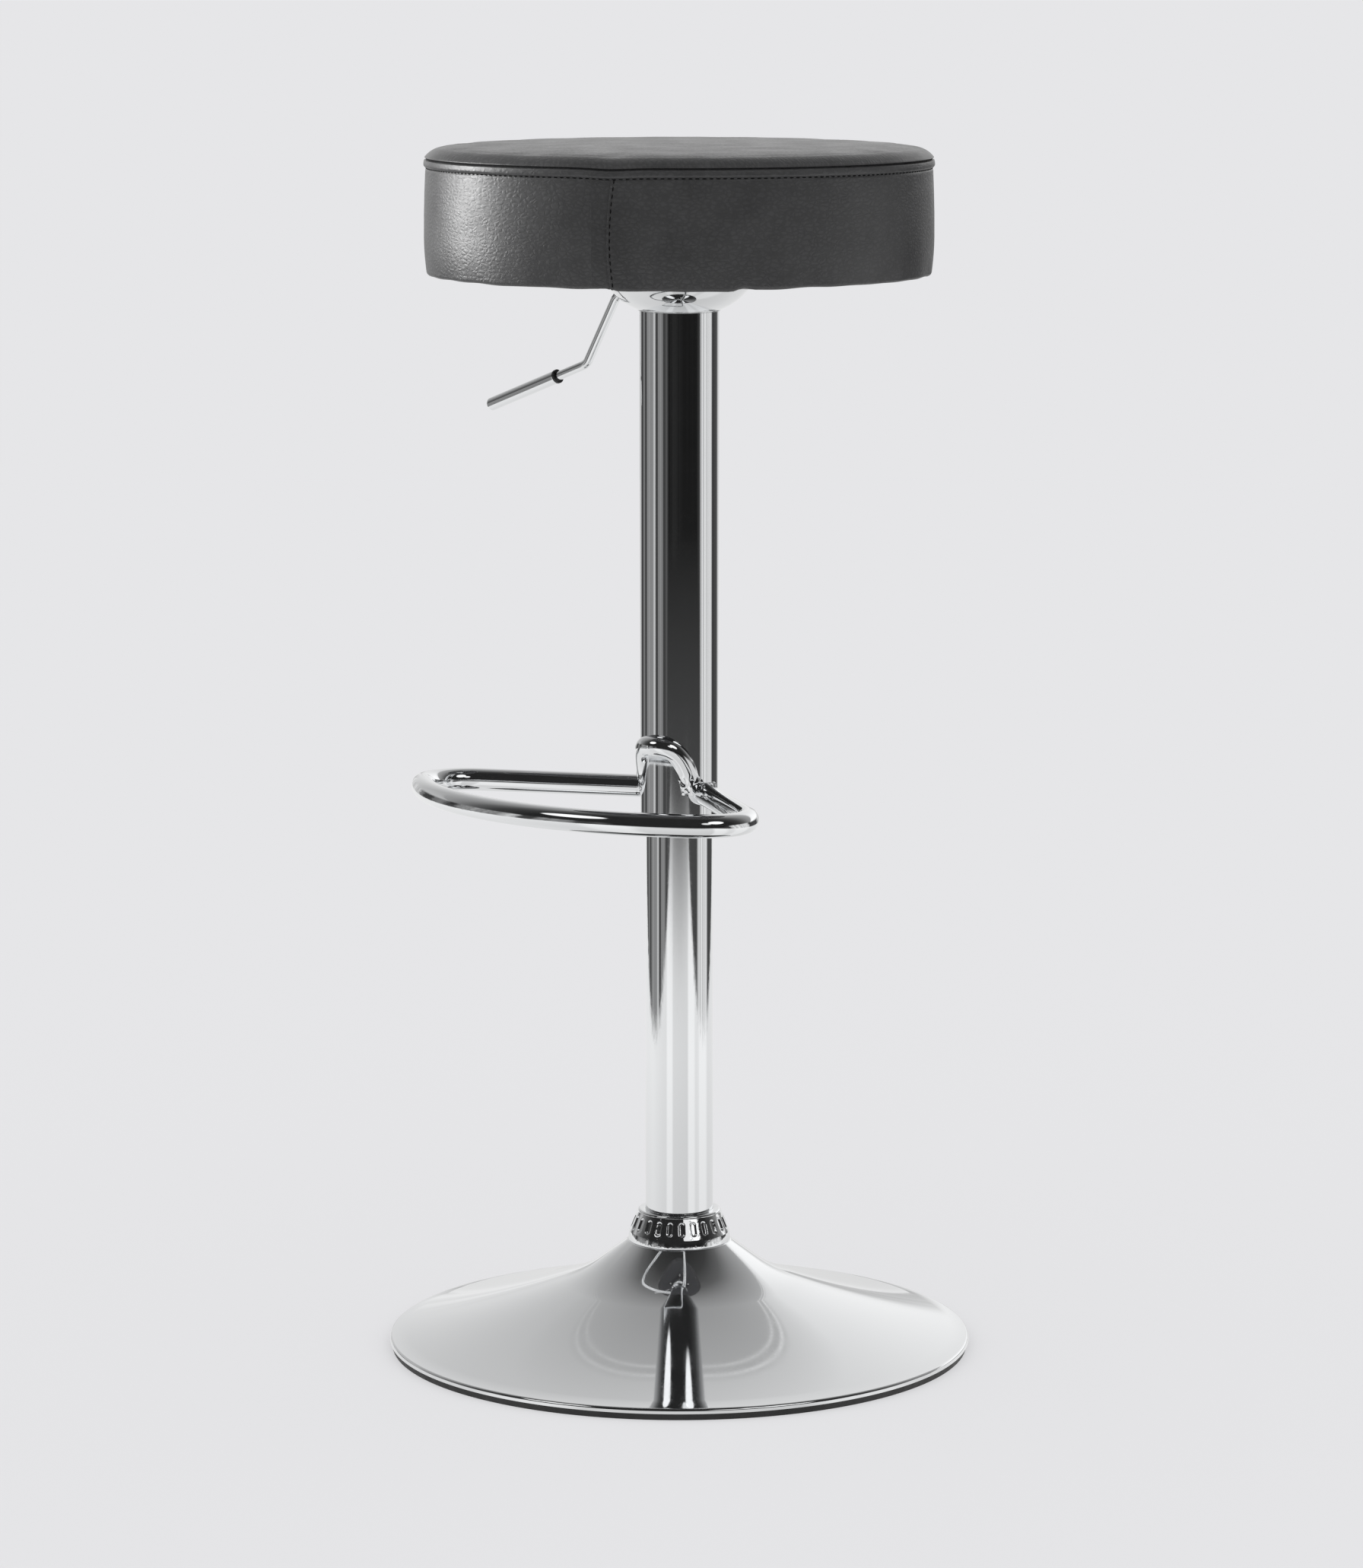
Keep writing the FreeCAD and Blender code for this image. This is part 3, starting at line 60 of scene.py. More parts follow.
# Places that the frame gives, in metres.
SEAT_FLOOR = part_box("cover_side_band")[0].z
SEAT_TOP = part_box("cover_top_panel")[1].z
BOARD_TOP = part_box("seat_board")[1].z
BOARD_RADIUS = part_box("seat_board")[1].x
LAND_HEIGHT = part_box("base_collar")[0].z
BASE_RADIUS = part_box("base_shell")[1].x
SHELL_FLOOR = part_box("base_shell")[0].z
COLUMN_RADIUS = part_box("upper_column_tube")[1].x
INNER_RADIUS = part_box("lower_column_tube")[1].x
CUP_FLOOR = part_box("bell_cup")[0].z
CUP_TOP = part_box("bell_cup")[1].z
CUP_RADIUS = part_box("bell_cup")[1].x
PIVOT = sum(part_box("lever_pivot_pin"), Vector()) / 2

# Sizes that more than one piece uses.
TUBE_WALL = 1.5 * MM
HEM_RADIUS = 143 * MM  # where the cover ends under the seat
HEM_EDGE = 30 * MM  # from there along the cover to the seat's lower edge
SIDE_RADIUS = 174 * MM  # of the cover's side, for lengths round it
STITCH_ASIDE = 2.4 * MM  # from the upright seam's fold to its stitches
STAPLE_COUNT = 36
HOLD = 0.7 * MM  # from an edge to the points that keep shading flat beside it


# ---------------------------------------------------------------- settings


class StoolCushionSettings(bpy.types.PropertyGroup):
    """Sizes and colours of the seat cushion."""

    swell: bpy.props.FloatProperty(
        name="Swell", description="How far the filling may push the cover out", default=0.8 * MM, unit="LENGTH"
    )
    stitch_pitch: bpy.props.FloatProperty(
        name="Stitch pitch", description="Distance from one stitch to the next", default=4.6 * MM, unit="LENGTH"
    )
    stitch_length: bpy.props.FloatProperty(
        name="Stitch length", description="Length of thread that shows in a stitch", default=3.1 * MM, unit="LENGTH"
    )
    thread_thickness: bpy.props.FloatProperty(
        name="Thread thickness", description="Thickness of the sewing thread", default=0.9 * MM, unit="LENGTH"
    )
    crease_drop: bpy.props.FloatProperty(
        name="Crease drop", description="Depth of the cover's crease below the crown", default=9.6 * MM, unit="LENGTH"
    )
    strip_width: bpy.props.FloatProperty(
        name="Strip width", description="Distance from the crease to the stitched line", default=6.5 * MM, unit="LENGTH"
    )
    seam_azimuth: bpy.props.FloatProperty(
        name="Seam azimuth", description="Where the upright seam stands", default=math.radians(297), subtype="ANGLE"
    )
    leather: bpy.props.FloatVectorProperty(
        name="Leather", description="Colour of the cover", default=(0.044, 0.044, 0.045), size=3, subtype="COLOR"
    )
    thread: bpy.props.FloatVectorProperty(
        name="Thread", description="Colour of the thread", default=(0.006, 0.006, 0.006), size=3, subtype="COLOR"
    )


class StoolMetalSettings(bpy.types.PropertyGroup):
    """Sizes and colours of the chrome pieces."""

    recess_count: bpy.props.IntProperty(
        name="Recesses", description="Oval recesses round the collar", default=24, min=3
    )
    recess_depth: bpy.props.FloatProperty(
        name="Recess depth", description="Depth of the collar's recesses", default=1.1 * MM, unit="LENGTH"
    )
    weld_size: bpy.props.FloatProperty(
        name="Weld size", description="Size of the welds on the column", default=2.2 * MM, unit="LENGTH"
    )
    chrome: bpy.props.FloatVectorProperty(
        name="Chrome", description="Colour of the plating", default=(0.86, 0.87, 0.88), size=3, subtype="COLOR"
    )


class StoolStudioSettings(bpy.types.PropertyGroup):
    """The floor, the light and the camera."""

    backdrop: bpy.props.FloatVectorProperty(
        name="Backdrop", description="Colour of floor and backdrop", default=(0.791, 0.791, 0.807), size=3,
        subtype="COLOR",
    )
    paper_width: bpy.props.FloatProperty(
        name="Paper width", description="Width of the white paper that the chrome mirrors", default=2.2, unit="LENGTH"
    )
    paper_reach: bpy.props.FloatProperty(
        name="Paper reach", description="How far the paper runs toward the camera", default=2.2, unit="LENGTH"
    )
    camera_azimuth: bpy.props.FloatProperty(
        name="Camera azimuth", description="Camera's turn from straight in front", default=math.radians(42),
        subtype="ANGLE",
    )
    camera_distance: bpy.props.FloatProperty(
        name="Camera distance", description="Level distance to the column", default=3.67589, unit="LENGTH"
    )
    camera_height: bpy.props.FloatProperty(
        name="Camera height", description="Height of the camera", default=0.99137, unit="LENGTH"
    )
    aim_height: bpy.props.FloatProperty(
        name="Aim height", description="Height on the column in the middle of the picture", default=0.40069,
        unit="LENGTH",
    )
    lens: bpy.props.FloatProperty(
        name="Lens", description="Focal length in millimetres on a 36 mm frame", default=122.427
    )


# ---------------------------------------------------------------- outlines


def round_axis(radius, angle, height):
    """Arrays of points from their radii, angles and heights."""
    return np.stack([radius * np.cos(angle), radius * np.sin(angle), height], axis=-1)


def from_front(turn, reach, height):
    """A point that stands turned to the right from straight in front."""
    return Vector((reach * math.sin(turn), -reach * math.cos(turn), height))


def arc_between(start, end, radius, turn_step):
    """Points inside the short arc from start to end; a positive radius runs anticlockwise."""
    half = (end - start) / 2
    reach = math.sqrt(max(radius * radius - half.length_squared, 0.0))
    side = Vector((-half.y, half.x)).normalized() * math.copysign(reach, radius)
    centre = start + half + side
    first = math.atan2(start.y - centre.y, start.x - centre.x)
    turn = math.copysign(2 * math.asin(min(half.length / abs(radius), 1.0)), radius)
    steps = max(2, math.ceil(abs(turn) / turn_step))
    return [
        centre + Vector((math.cos(first + turn * i / steps), math.sin(first + turn * i / steps))) * abs(radius)
        for i in range(1, steps)
    ]


def trace(corners, closed=True, turn_step=math.radians(3)):
    """An outline through corners (radius, height) or (radius, height, radius of the arc that follows)."""
    points = []
    edge_count = len(corners) if closed else len(corners) - 1
    for i in range(edge_count):
        start, end = Vector(corners[i][:2]), Vector(corners[(i + 1) % len(corners)][:2])
        points.append(start)
        if len(corners[i]) == 3:
            points += arc_between(start, end, corners[i][2], turn_step)
    if not closed:
        points.append(Vector(corners[-1][:2]))
    return points


def ease(points, radius):
    """Round the sharp corners of a closed outline, as polishing does."""
    sharp, steps = math.radians(24), 3
    eased = []
    for i, corner in enumerate(points):
        before, after = points[i - 1] - corner, points[(i + 1) % len(points)] - corner
        if math.pi - before.angle(after) < sharp:
            eased.append(corner)
            continue
        setback = min(radius, before.length * 0.45, after.length * 0.45)
        first, last = corner + before.normalized() * setback, corner + after.normalized() * setback
        if before.length > 6 * HOLD:
            eased.append(first + before.normalized() * HOLD)
        for step in range(steps + 1):
            share = step / steps
            eased.append(first.lerp(corner, share).lerp(corner.lerp(last, share), share))
        if after.length > 6 * HOLD:
            eased.append(last + after.normalized() * HOLD)
    return eased


def hold_straights(path):
    """The path with a point just inside both ends of each long stretch, so that shading stays straight there."""
    held = [path[0]]
    for before, after in zip(path, path[1:]):
        run = after - before
        if run.length > 6 * HOLD:
            held += [before + run.normalized() * HOLD, after - run.normalized() * HOLD]
        held.append(after)
    return held


# ---------------------------------------------------------------- meshes


def new_object(name, data):
    piece = bpy.data.objects.new(name, data)
    bpy.context.scene.collection.objects.link(piece)
    return piece


def object_from(name, grid):
    """An object that takes its mesh from a bmesh."""
    mesh = bpy.data.meshes.new(name)
    grid.to_mesh(mesh)
    grid.free()
    return new_object(name, mesh)


def shade(piece, sharp_degrees):
    """Shade a piece smooth, apart from its sharper edges."""
    piece.data.shade_smooth()
    piece.data.set_sharp_from_angle(angle=math.radians(sharp_degrees))


def finish_mesh(name, grid, sharp_degrees=40):
    """A smooth-shaded object from a bmesh, with its faces turned outward."""
    bmesh.ops.remove_doubles(grid, verts=grid.verts, dist=1e-7)
    bmesh.ops.recalc_face_normals(grid, faces=grid.faces)
    piece = object_from(name, grid)
    shade(piece, sharp_degrees)
    return piece


def bridge(grid, low, high, wrap=True):
    """Faces between two rows of vertices; a row of one vertex is a pole."""
    count = max(len(low), len(high))
    for i in range(count if wrap else count - 1):
        after = (i + 1) % count
        if len(low) == 1:
            grid.faces.new((low[0], high[i], high[after]))
        elif len(high) == 1:
            grid.faces.new((low[i], high[0], low[after]))
        else:
            grid.faces.new((low[i], high[i], high[after], low[after]))


def ring_of_vertices(grid, radius, height, angles):
    """Vertices round the column's axis; radius may be a function of the angle."""
    if not callable(radius) and radius < 1e-7:
        return [grid.verts.new((0, 0, height))]
    ring = []
    for angle in angles:
        reach = radius(angle) if callable(radius) else radius
        ring.append(grid.verts.new((reach * math.cos(angle), reach * math.sin(angle), height)))
    return ring


def lathe(name, points, segments, closed=True):
    """Turn an outline (radius, height) about the column's axis."""
    grid = bmesh.new()
    angles = [FULL_TURN * i / segments for i in range(segments)]
    rings = [ring_of_vertices(grid, radius, height, angles) for radius, height in points]
    pairs = zip(rings, rings[1:] + rings[:1]) if closed else zip(rings, rings[1:])
    for low, high in pairs:
        if len(low) > 1 or len(high) > 1:
            bridge(grid, low, high)
    return finish_mesh(name, grid)


def sweep(name, path, radius, segments):
    """A round bar along a path of points; radius is one number, or one for each point."""
    grid = bmesh.new()
    radii = radius if hasattr(radius, "__len__") else [radius] * len(path)
    turns = [FULL_TURN * k / segments for k in range(segments)]
    tangents = [(path[min(i + 1, len(path) - 1)] - path[max(i - 1, 0)]).normalized() for i in range(len(path))]
    side = tangents[0].orthogonal().normalized()
    rings = []
    for i, (point, tangent) in enumerate(zip(path, tangents)):
        if i:
            side = tangents[i - 1].rotation_difference(tangent) @ side
        up = tangent.cross(side)
        rings.append([
            grid.verts.new(point + (side * math.cos(turn) + up * math.sin(turn)) * radii[i]) for turn in turns
        ])
    for low, high in zip(rings, rings[1:]):
        bridge(grid, low, high)
    grid.faces.new(rings[0][::-1])
    grid.faces.new(rings[-1])
    return finish_mesh(name, grid)


def apply_modifiers(piece):
    """Bake a piece's modifiers into its own mesh."""
    depsgraph = bpy.context.evaluated_depsgraph_get()
    mesh = bpy.data.meshes.new_from_object(piece.evaluated_get(depsgraph))
    piece.modifiers.clear()
    piece.data = mesh
    mesh.name = piece.name


def cut_away(piece, cutter):
    """Cut one mesh out of another and remove the cutter."""
    modifier = piece.modifiers.new("Cut", "BOOLEAN")
    modifier.object = cutter
    modifier.operation = "DIFFERENCE"
    modifier.solver = "EXACT"
    apply_modifiers(piece)
    bpy.data.objects.remove(cutter)
    shade(piece, 30)


def box_mesh(name, low, high):
    grid = bmesh.new()
    bmesh.ops.create_cube(grid, size=1.0)
    size, middle = Vector(high) - Vector(low), (Vector(high) + Vector(low)) / 2
    bmesh.ops.transform(grid, matrix=Matrix.Translation(middle) @ Matrix.Diagonal((*size, 1)), verts=grid.verts)
    return finish_mesh(name, grid)


def paint(piece, finish):
    piece.data.materials.clear()
    piece.data.materials.append(finish)


def place(piece, finish, body, slot, *nodes):
    """Give a piece its finish, its body and the CAD nodes that it stands for."""
    if finish is not None:
        paint(piece, finish)
    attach(piece, body)
    if nodes:
        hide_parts(*nodes)


# ---------------------------------------------------------------- nodes


def feed(tree, value, into):
    """Set a socket to a number, colour or vector, or link it from a node's first output or from (node, output)."""
    if isinstance(value, bpy.types.Node):
        value = (value, 0)
    if isinstance(value, tuple) and isinstance(value[0], bpy.types.Node):
        tree.links.new(value[0].outputs[value[1]], into)
    else:
        into.default_value = value


def add_node(tree, kind, inputs=None, **properties):
    """Add a node with its properties; inputs are what feed takes, by the socket's name or number."""
    node = tree.nodes.new(kind)
    for name, value in properties.items():
        setattr(node, name, value)
    for key, value in (inputs or {}).items():
        feed(tree, value, node.inputs[key])
    return node


def math_node(tree, operation, *values):
    return add_node(tree, "ShaderNodeMath", dict(enumerate(values)), operation=operation)


def vector_node(tree, operation, inputs):
    return add_node(tree, "ShaderNodeVectorMath", inputs, operation=operation)


def noise_node(tree, vector, scale, detail=3.0, roughness=0.55):
    return add_node(tree, "ShaderNodeTexNoise", {
        "Vector": vector, "Scale": scale, "Detail": detail, "Roughness": roughness,
    })


def range_node(tree, source, low, high, to_low=0.0, to_high=1.0, interpolation="LINEAR"):
    """A Map Range node from low and high to to_low and to_high."""
    return add_node(tree, "ShaderNodeMapRange", {
        "Value": source, "From Min": low, "From Max": high, "To Min": to_low, "To Max": to_high,
    }, interpolation_type=interpolation)


def ramp_node(tree, source, stops):
    """A Color Ramp with stops (position, grey level or colour)."""
    ramp = add_node(tree, "ShaderNodeValToRGB", {"Fac": source})
    elements = ramp.color_ramp.elements
    while len(elements) < len(stops):
        elements.new(0.5)
    for element, (position, tone) in zip(elements, sorted(stops)):
        element.position = position
        element.color = (*np.broadcast_to(tone, 3), 1.0)
    return ramp


def mix_colors(tree, factor, first, second):
    """A mix of two colours, as (node, output)."""
    return add_node(tree, "ShaderNodeMix", {"Factor": factor, 6: first, 7: second}, data_type="RGBA"), 2


def mix_shaders(tree, factor, first, second):
    return add_node(tree, "ShaderNodeMixShader", {0: factor, 1: first, 2: second})


def built_once(name):
    """Build a node tree only where none of its name is there yet."""
    def wrap(build):
        return lambda: bpy.data.node_groups.get(name) or build(name)
    return wrap


def new_tree(name, kind, inputs, outputs):
    """A node tree and its input node, with inputs (name, type, default) and outputs (name, type)."""
    tree = bpy.data.node_groups.new(name, kind)
    for label, socket_type, default in inputs:
        socket = tree.interface.new_socket(label, in_out="INPUT", socket_type="NodeSocket" + socket_type)
        if default is not None:
            socket.default_value = default
    for label, socket_type in outputs:
        tree.interface.new_socket(label, in_out="OUTPUT", socket_type="NodeSocket" + socket_type)
    return tree, tree.nodes.new("NodeGroupInput")


@built_once("Copies Round Column")
def copies_tree(name):
    """Copies of a mesh, evenly round the column's axis."""
    tree, given = new_tree(name, "GeometryNodeTree", [
        ("Geometry", "Geometry", None), ("Count", "Int", 4), ("Weld Distance", "Float", 0.0),
        ("Finish", "Material", None),
    ], [("Geometry", "Geometry")])
    share = math_node(tree, "DIVIDE", add_node(tree, "GeometryNodeInputIndex"), (given, "Count"))
    copies = add_node(tree, "GeometryNodeInstanceOnPoints", {
        "Points": add_node(tree, "GeometryNodePoints", {"Count": (given, "Count")}),
        "Instance": (given, "Geometry"),
        "Rotation": add_node(tree, "ShaderNodeCombineXYZ", {"Z": math_node(tree, "MULTIPLY", share, FULL_TURN)}),
    })
    whole = add_node(tree, "GeometryNodeRealizeInstances", {"Geometry": copies})
    welded = add_node(tree, "GeometryNodeMergeByDistance", {"Geometry": whole, "Distance": (given, "Weld Distance")})
    finished = add_node(tree, "GeometryNodeSetMaterial", {"Geometry": welded, "Material": (given, "Finish")})
    add_node(tree, "NodeGroupOutput", {"Geometry": finished})
    return tree


@built_once("Stitches Along Seam")
def stitches_tree(name):
    """Stitches of thread along a seam line."""
    tree, given = new_tree(name, "GeometryNodeTree", [
        ("Geometry", "Geometry", None), ("Pitch", "Float", 5 * MM), ("Stitch Length", "Float", 3 * MM),
        ("Thread Thickness", "Float", 0.6 * MM), ("Finish", "Material", None),
    ], [("Geometry", "Geometry")])
    curve = add_node(tree, "GeometryNodeMeshToCurve", {"Mesh": (given, "Geometry")})
    thickness = (given, "Thread Thickness")
    stitches = add_node(tree, "GeometryNodeInstanceOnPoints", {
        "Points": add_node(
            tree, "GeometryNodeResampleCurve", {"Curve": curve, "Length": (given, "Pitch")}, mode="LENGTH"
        ),
        "Instance": add_node(tree, "GeometryNodeMeshUVSphere", {"Segments": 8, "Rings": 6, "Radius": 0.5}),
        "Rotation": add_node(
            tree, "FunctionNodeAlignRotationToVector", {"Vector": add_node(tree, "GeometryNodeInputTangent")}, axis="X"
        ),
        "Scale": add_node(
            tree, "ShaderNodeCombineXYZ", {"X": (given, "Stitch Length"), "Y": thickness, "Z": thickness}
        ),
    })
    whole = add_node(tree, "GeometryNodeRealizeInstances", {"Geometry": stitches})
    smooth = add_node(tree, "GeometryNodeSetShadeSmooth", {"Geometry": whole})
    finished = add_node(tree, "GeometryNodeSetMaterial", {"Geometry": smooth, "Material": (given, "Finish")})
    add_node(tree, "NodeGroupOutput", {"Geometry": finished})
    return tree


def run_tree(piece, tree, **values):
    """Bake a geometry tree on a piece; values are the tree's inputs by name, with _ for a space."""
    modifier = piece.modifiers.new(tree.name, "NODES")
    modifier.node_group = tree
    for item in tree.interface.items_tree:
        key = item.name.replace(" ", "_")
        if item.item_type == "SOCKET" and item.in_out == "INPUT" and key in values:
            modifier[item.identifier] = values[key]
    apply_modifiers(piece)


def copy_round(piece, count, finish, weld=0.0):
    """Turn one piece into copies of it round the column, all in one mesh."""
    run_tree(piece, copies_tree(), Count=count, Weld_Distance=weld, Finish=finish)


# ---------------------------------------------------------------- finishes


@built_once("Surface Wear")
def surface_wear_group(name):
    """Roughness that varies with handling, and a faint relief."""
    tree, given = new_tree(name, "ShaderNodeTree", [
        ("Vector", "Vector", None), ("Scale", "Float", 60.0), ("Smoothest", "Float", 0.1), ("Roughest", "Float", 0.2),
    ], [("Roughness", "Float"), ("Height", "Float")])
    vector, scale = (given, "Vector"), (given, "Scale")
    broad = noise_node(tree, vector, scale, detail=4.0)
    fine = noise_node(tree, vector, math_node(tree, "MULTIPLY", scale, 14.0), detail=2.0)
    mixed = math_node(tree, "MULTIPLY", broad, fine)
    rough = range_node(tree, mixed, 0.12, 0.42, (given, "Smoothest"), (given, "Roughest"))
    add_node(tree, "NodeGroupOutput", {"Roughness": rough, "Height": fine})
    return tree


@built_once("Colour Mottle")
def mottle_group(name):
    """Colour that drifts between two tones."""
    tree, given = new_tree(name, "ShaderNodeTree", [
        ("Vector", "Vector", None), ("Scale", "Float", 40.0), ("Dark", "Color", (0.1, 0.1, 0.1, 1.0)),
        ("Light", "Color", (0.2, 0.2, 0.2, 1.0)),
    ], [("Color", "Color")])
    cloud = noise_node(tree, (given, "Vector"), (given, "Scale"), detail=5.0, roughness=0.6)
    color = mix_colors(tree, range_node(tree, cloud, 0.3, 0.7), (given, "Dark"), (given, "Light"))
    add_node(tree, "NodeGroupOutput", {"Color": color})
    return tree


@built_once("Pebbled Relief")
def pebble_group(name):
    """The pebbled relief of pressed leather or textured coating: cells, longer across than up, with bent edges."""
    tree, given = new_tree(name, "ShaderNodeTree", [
        ("Vector", "Vector", None), ("Pebble Scale", "Float", 500.0), ("Wrinkle Scale", "Float", 120.0),
        ("Wrinkle Share", "Float", 0.6),
    ], [("Height", "Float"), ("Crevices", "Float")])
    vector, wrinkle_scale = (given, "Vector"), (given, "Wrinkle Scale")
    bent = noise_node(tree, vector, wrinkle_scale)
    stretched = vector_node(tree, "MULTIPLY", {0: vector, 1: (0.6, 1.0, 1.0)})
    shifted = vector_node(tree, "MULTIPLY_ADD", {0: (bent, "Color"), 1: (0.006, 0.003, 0.003), 2: stretched})
    pebbles = add_node(
        tree, "ShaderNodeTexVoronoi", {"Vector": shifted, "Scale": (given, "Pebble Scale")}, feature="DISTANCE_TO_EDGE"
    )
    valleys = range_node(tree, (pebbles, "Distance"), 0.0, 0.42, interpolation="SMOOTHSTEP")
    wrinkle = noise_node(tree, vector, wrinkle_scale, detail=4.0, roughness=0.6)
    raised = math_node(tree, "MULTIPLY", wrinkle, (given, "Wrinkle Share"))
    add_node(tree, "NodeGroupOutput", {"Height": math_node(tree, "ADD", valleys, raised), "Crevices": valleys})
    return tree


def new_finish(name, color, **sockets):
    """A material with its Principled BSDF's own sockets set."""
    finish = bpy.data.materials.new(name)
    finish.use_nodes = True
    shader = finish.node_tree.nodes["Principled BSDF"]
    shader.inputs["Base Color"].default_value = (*color, 1.0)
    for label, value in sockets.items():
        shader.inputs[label.replace("_", " ")].default_value = value
    return finish, finish.node_tree, shader


def add_group(tree, group, coordinates, **values):
    """Place a shader group, fed by one of the Texture Coordinate node's outputs."""
    source = tree.nodes.get("Texture Coordinate") or tree.nodes.new("ShaderNodeTexCoord")
    inputs = {label.replace("_", " "): value for label, value in values.items()}
    return add_node(tree, "ShaderNodeGroup", {"Vector": (source, coordinates), **inputs}, node_tree=group)


def add_bump(tree, shader, height, strength, distance):
    """Feed a height through a Bump node into the shader."""
    bump = add_node(tree, "ShaderNodeBump", {"Height": height, "Strength": strength, "Distance": distance})
    feed(tree, bump, shader.inputs["Normal"])


def add_mottle(tree, shader, scale, dark, light):
    """Let the shader's colour drift between two tones."""
    mottle = add_group(tree, mottle_group(), "Object", Scale=scale, Dark=(*dark, 1.0), Light=(*light, 1.0))
    feed(tree, mottle, shader.inputs["Base Color"])


def worn_finish(name, color, wear, relief, dark=None, **sockets):
    """A finish with wear (scale, smoothest, roughest), a faint relief and, where dark is given, uneven colour."""
    scale, smoothest, roughest = wear
    finish, tree, shader = new_finish(name, color, **sockets)
    worn = add_group(tree, surface_wear_group(), "Object", Scale=scale, Smoothest=smoothest, Roughest=roughest)
    feed(tree, worn, shader.inputs["Roughness"])
    add_bump(tree, shader, (worn, "Height"), 1.0, relief)
    if dark is not None:
        add_mottle(tree, shader, scale * 0.5, dark, color)
    return finish


def pebbled_finish(name, color, tones, mottle_scale, grain, strength, relief, **sockets):
    """A soft finish with two tones of colour and a grain (pebble scale, wrinkle scale, wrinkle share)."""
    finish, tree, shader = new_finish(name, color, **sockets)
    labels = ("Pebble_Scale", "Wrinkle_Scale", "Wrinkle_Share")
    pebbles = add_group(tree, pebble_group(), "Object", **dict(zip(labels, grain)))
    add_mottle(tree, shader, mottle_scale, *tones)
    add_bump(tree, shader, pebbles, strength, relief)
    return finish


def chrome_finish(name, wear, relief, tone=1.0):
    """Chrome plating; tone darkens the colour in the settings."""
    color = tuple(tone * level for level in bpy.context.scene.stool_metal.chrome)
    return worn_finish(name, color, wear, relief, Metallic=1.0)


def leather_finish():
    """Artificial leather: pebbled, unevenly worn and mottled, with painted shade that darkens it a little between its
    pebbles.
    """
    leather = bpy.context.scene.stool_cushion.leather
    finish, tree, shader = new_finish("black_leather", leather, Specular_IOR_Level=0.5)
    grain = add_group(tree, pebble_group(), "UV", Pebble_Scale=360.0, Wrinkle_Scale=150.0, Wrinkle_Share=0.6)
    wear = add_group(tree, surface_wear_group(), "UV", Scale=30.0, Smoothest=0.36, Roughest=0.48)
    dark, light = ((*(tone * share for tone in leather), 1.0) for share in (0.84, 1.2))
    mottle = add_group(tree, mottle_group(), "UV", Scale=24.0, Dark=dark, Light=light)
    # Painted shade: the colour is darkened in the crevices between the pebbles, where shade falls.
    painted_crevice_shade = range_node(tree, (grain, "Crevices"), 0.0, 0.7, 0.86, 1.05)
    feed(tree, vector_node(tree, "SCALE", {0: mottle, "Scale": painted_crevice_shade}), shader.inputs["Base Color"])
    feed(tree, wear, shader.inputs["Roughness"])
    add_bump(tree, shader, grain, 1.0, 0.095 * MM)
    return finish


def plywood_finish():
    """Grain along the board's faces and fine bands on its edge."""
    finish, tree, shader = new_finish("plywood", (0.50, 0.34, 0.19), Roughness=0.7)
    source = tree.nodes.new("ShaderNodeTexCoord")
    spread = add_node(tree, "ShaderNodeMapping", {"Vector": (source, "Object"), "Scale": (8.0, 90.0, 500.0)})
    grain = noise_node(tree, spread, 1.0, detail=5.0)
    ramp = ramp_node(tree, grain, [(0.35, (0.33, 0.20, 0.10)), (0.7, (0.58, 0.42, 0.25))])
    feed(tree, ramp, shader.inputs["Base Color"])
    add_bump(tree, shader, grain, 0.5, 0.15 * MM)
    return finish


# By slot: colour, darker colour, wear (scale, smoothest, roughest), relief, how metallic.
PLAIN_FINISHES = {
    "black_rubber": ((0.022, 0.022, 0.023), (0.012, 0.012, 0.012), (160.0, 0.5, 0.75), 0.02 * MM, 0.0),
    "black_plate": ((0.03, 0.03, 0.032), (0.018, 0.018, 0.019), (220.0, 0.42, 0.62), 0.03 * MM, 0.0),
    "bright_steel": ((0.62, 0.62, 0.61), (0.5, 0.5, 0.5), (120.0, 0.22, 0.4), 0.002 * MM, 1.0),
    "black_plastic": ((0.02, 0.02, 0.021), (0.012, 0.012, 0.013), (140.0, 0.35, 0.5), 0.01 * MM, 0.0),
    "ballast_iron": ((0.09, 0.085, 0.08), (0.045, 0.04, 0.036), (70.0, 0.55, 0.8), 0.15 * MM, 0.6),
    "valve_brass": ((0.72, 0.52, 0.24), (0.6, 0.42, 0.18), (110.0, 0.2, 0.38), 0.002 * MM, 1.0),
}


def make_shared_finishes():
    """Make the finishes that several pieces wear, and keep their names by slot."""
    finishes = {"chrome": chrome_finish("chrome_plate", (45.0, 0.025, 0.075), 0.0006 * MM)}
    for slot, (color, dark, wear, relief, metallic) in PLAIN_FINISHES.items():
        finishes[slot] = worn_finish(slot, color, wear, relief, dark, Metallic=metallic)
    finishes["plywood"] = plywood_finish()
    bpy.context.scene["stool_finishes"] = {slot: finish.name for slot, finish in finishes.items()}


def shared_finish(slot):
    return bpy.data.materials[bpy.context.scene["stool_finishes"][slot]]


# ---------------------------------------------------------------- cushion


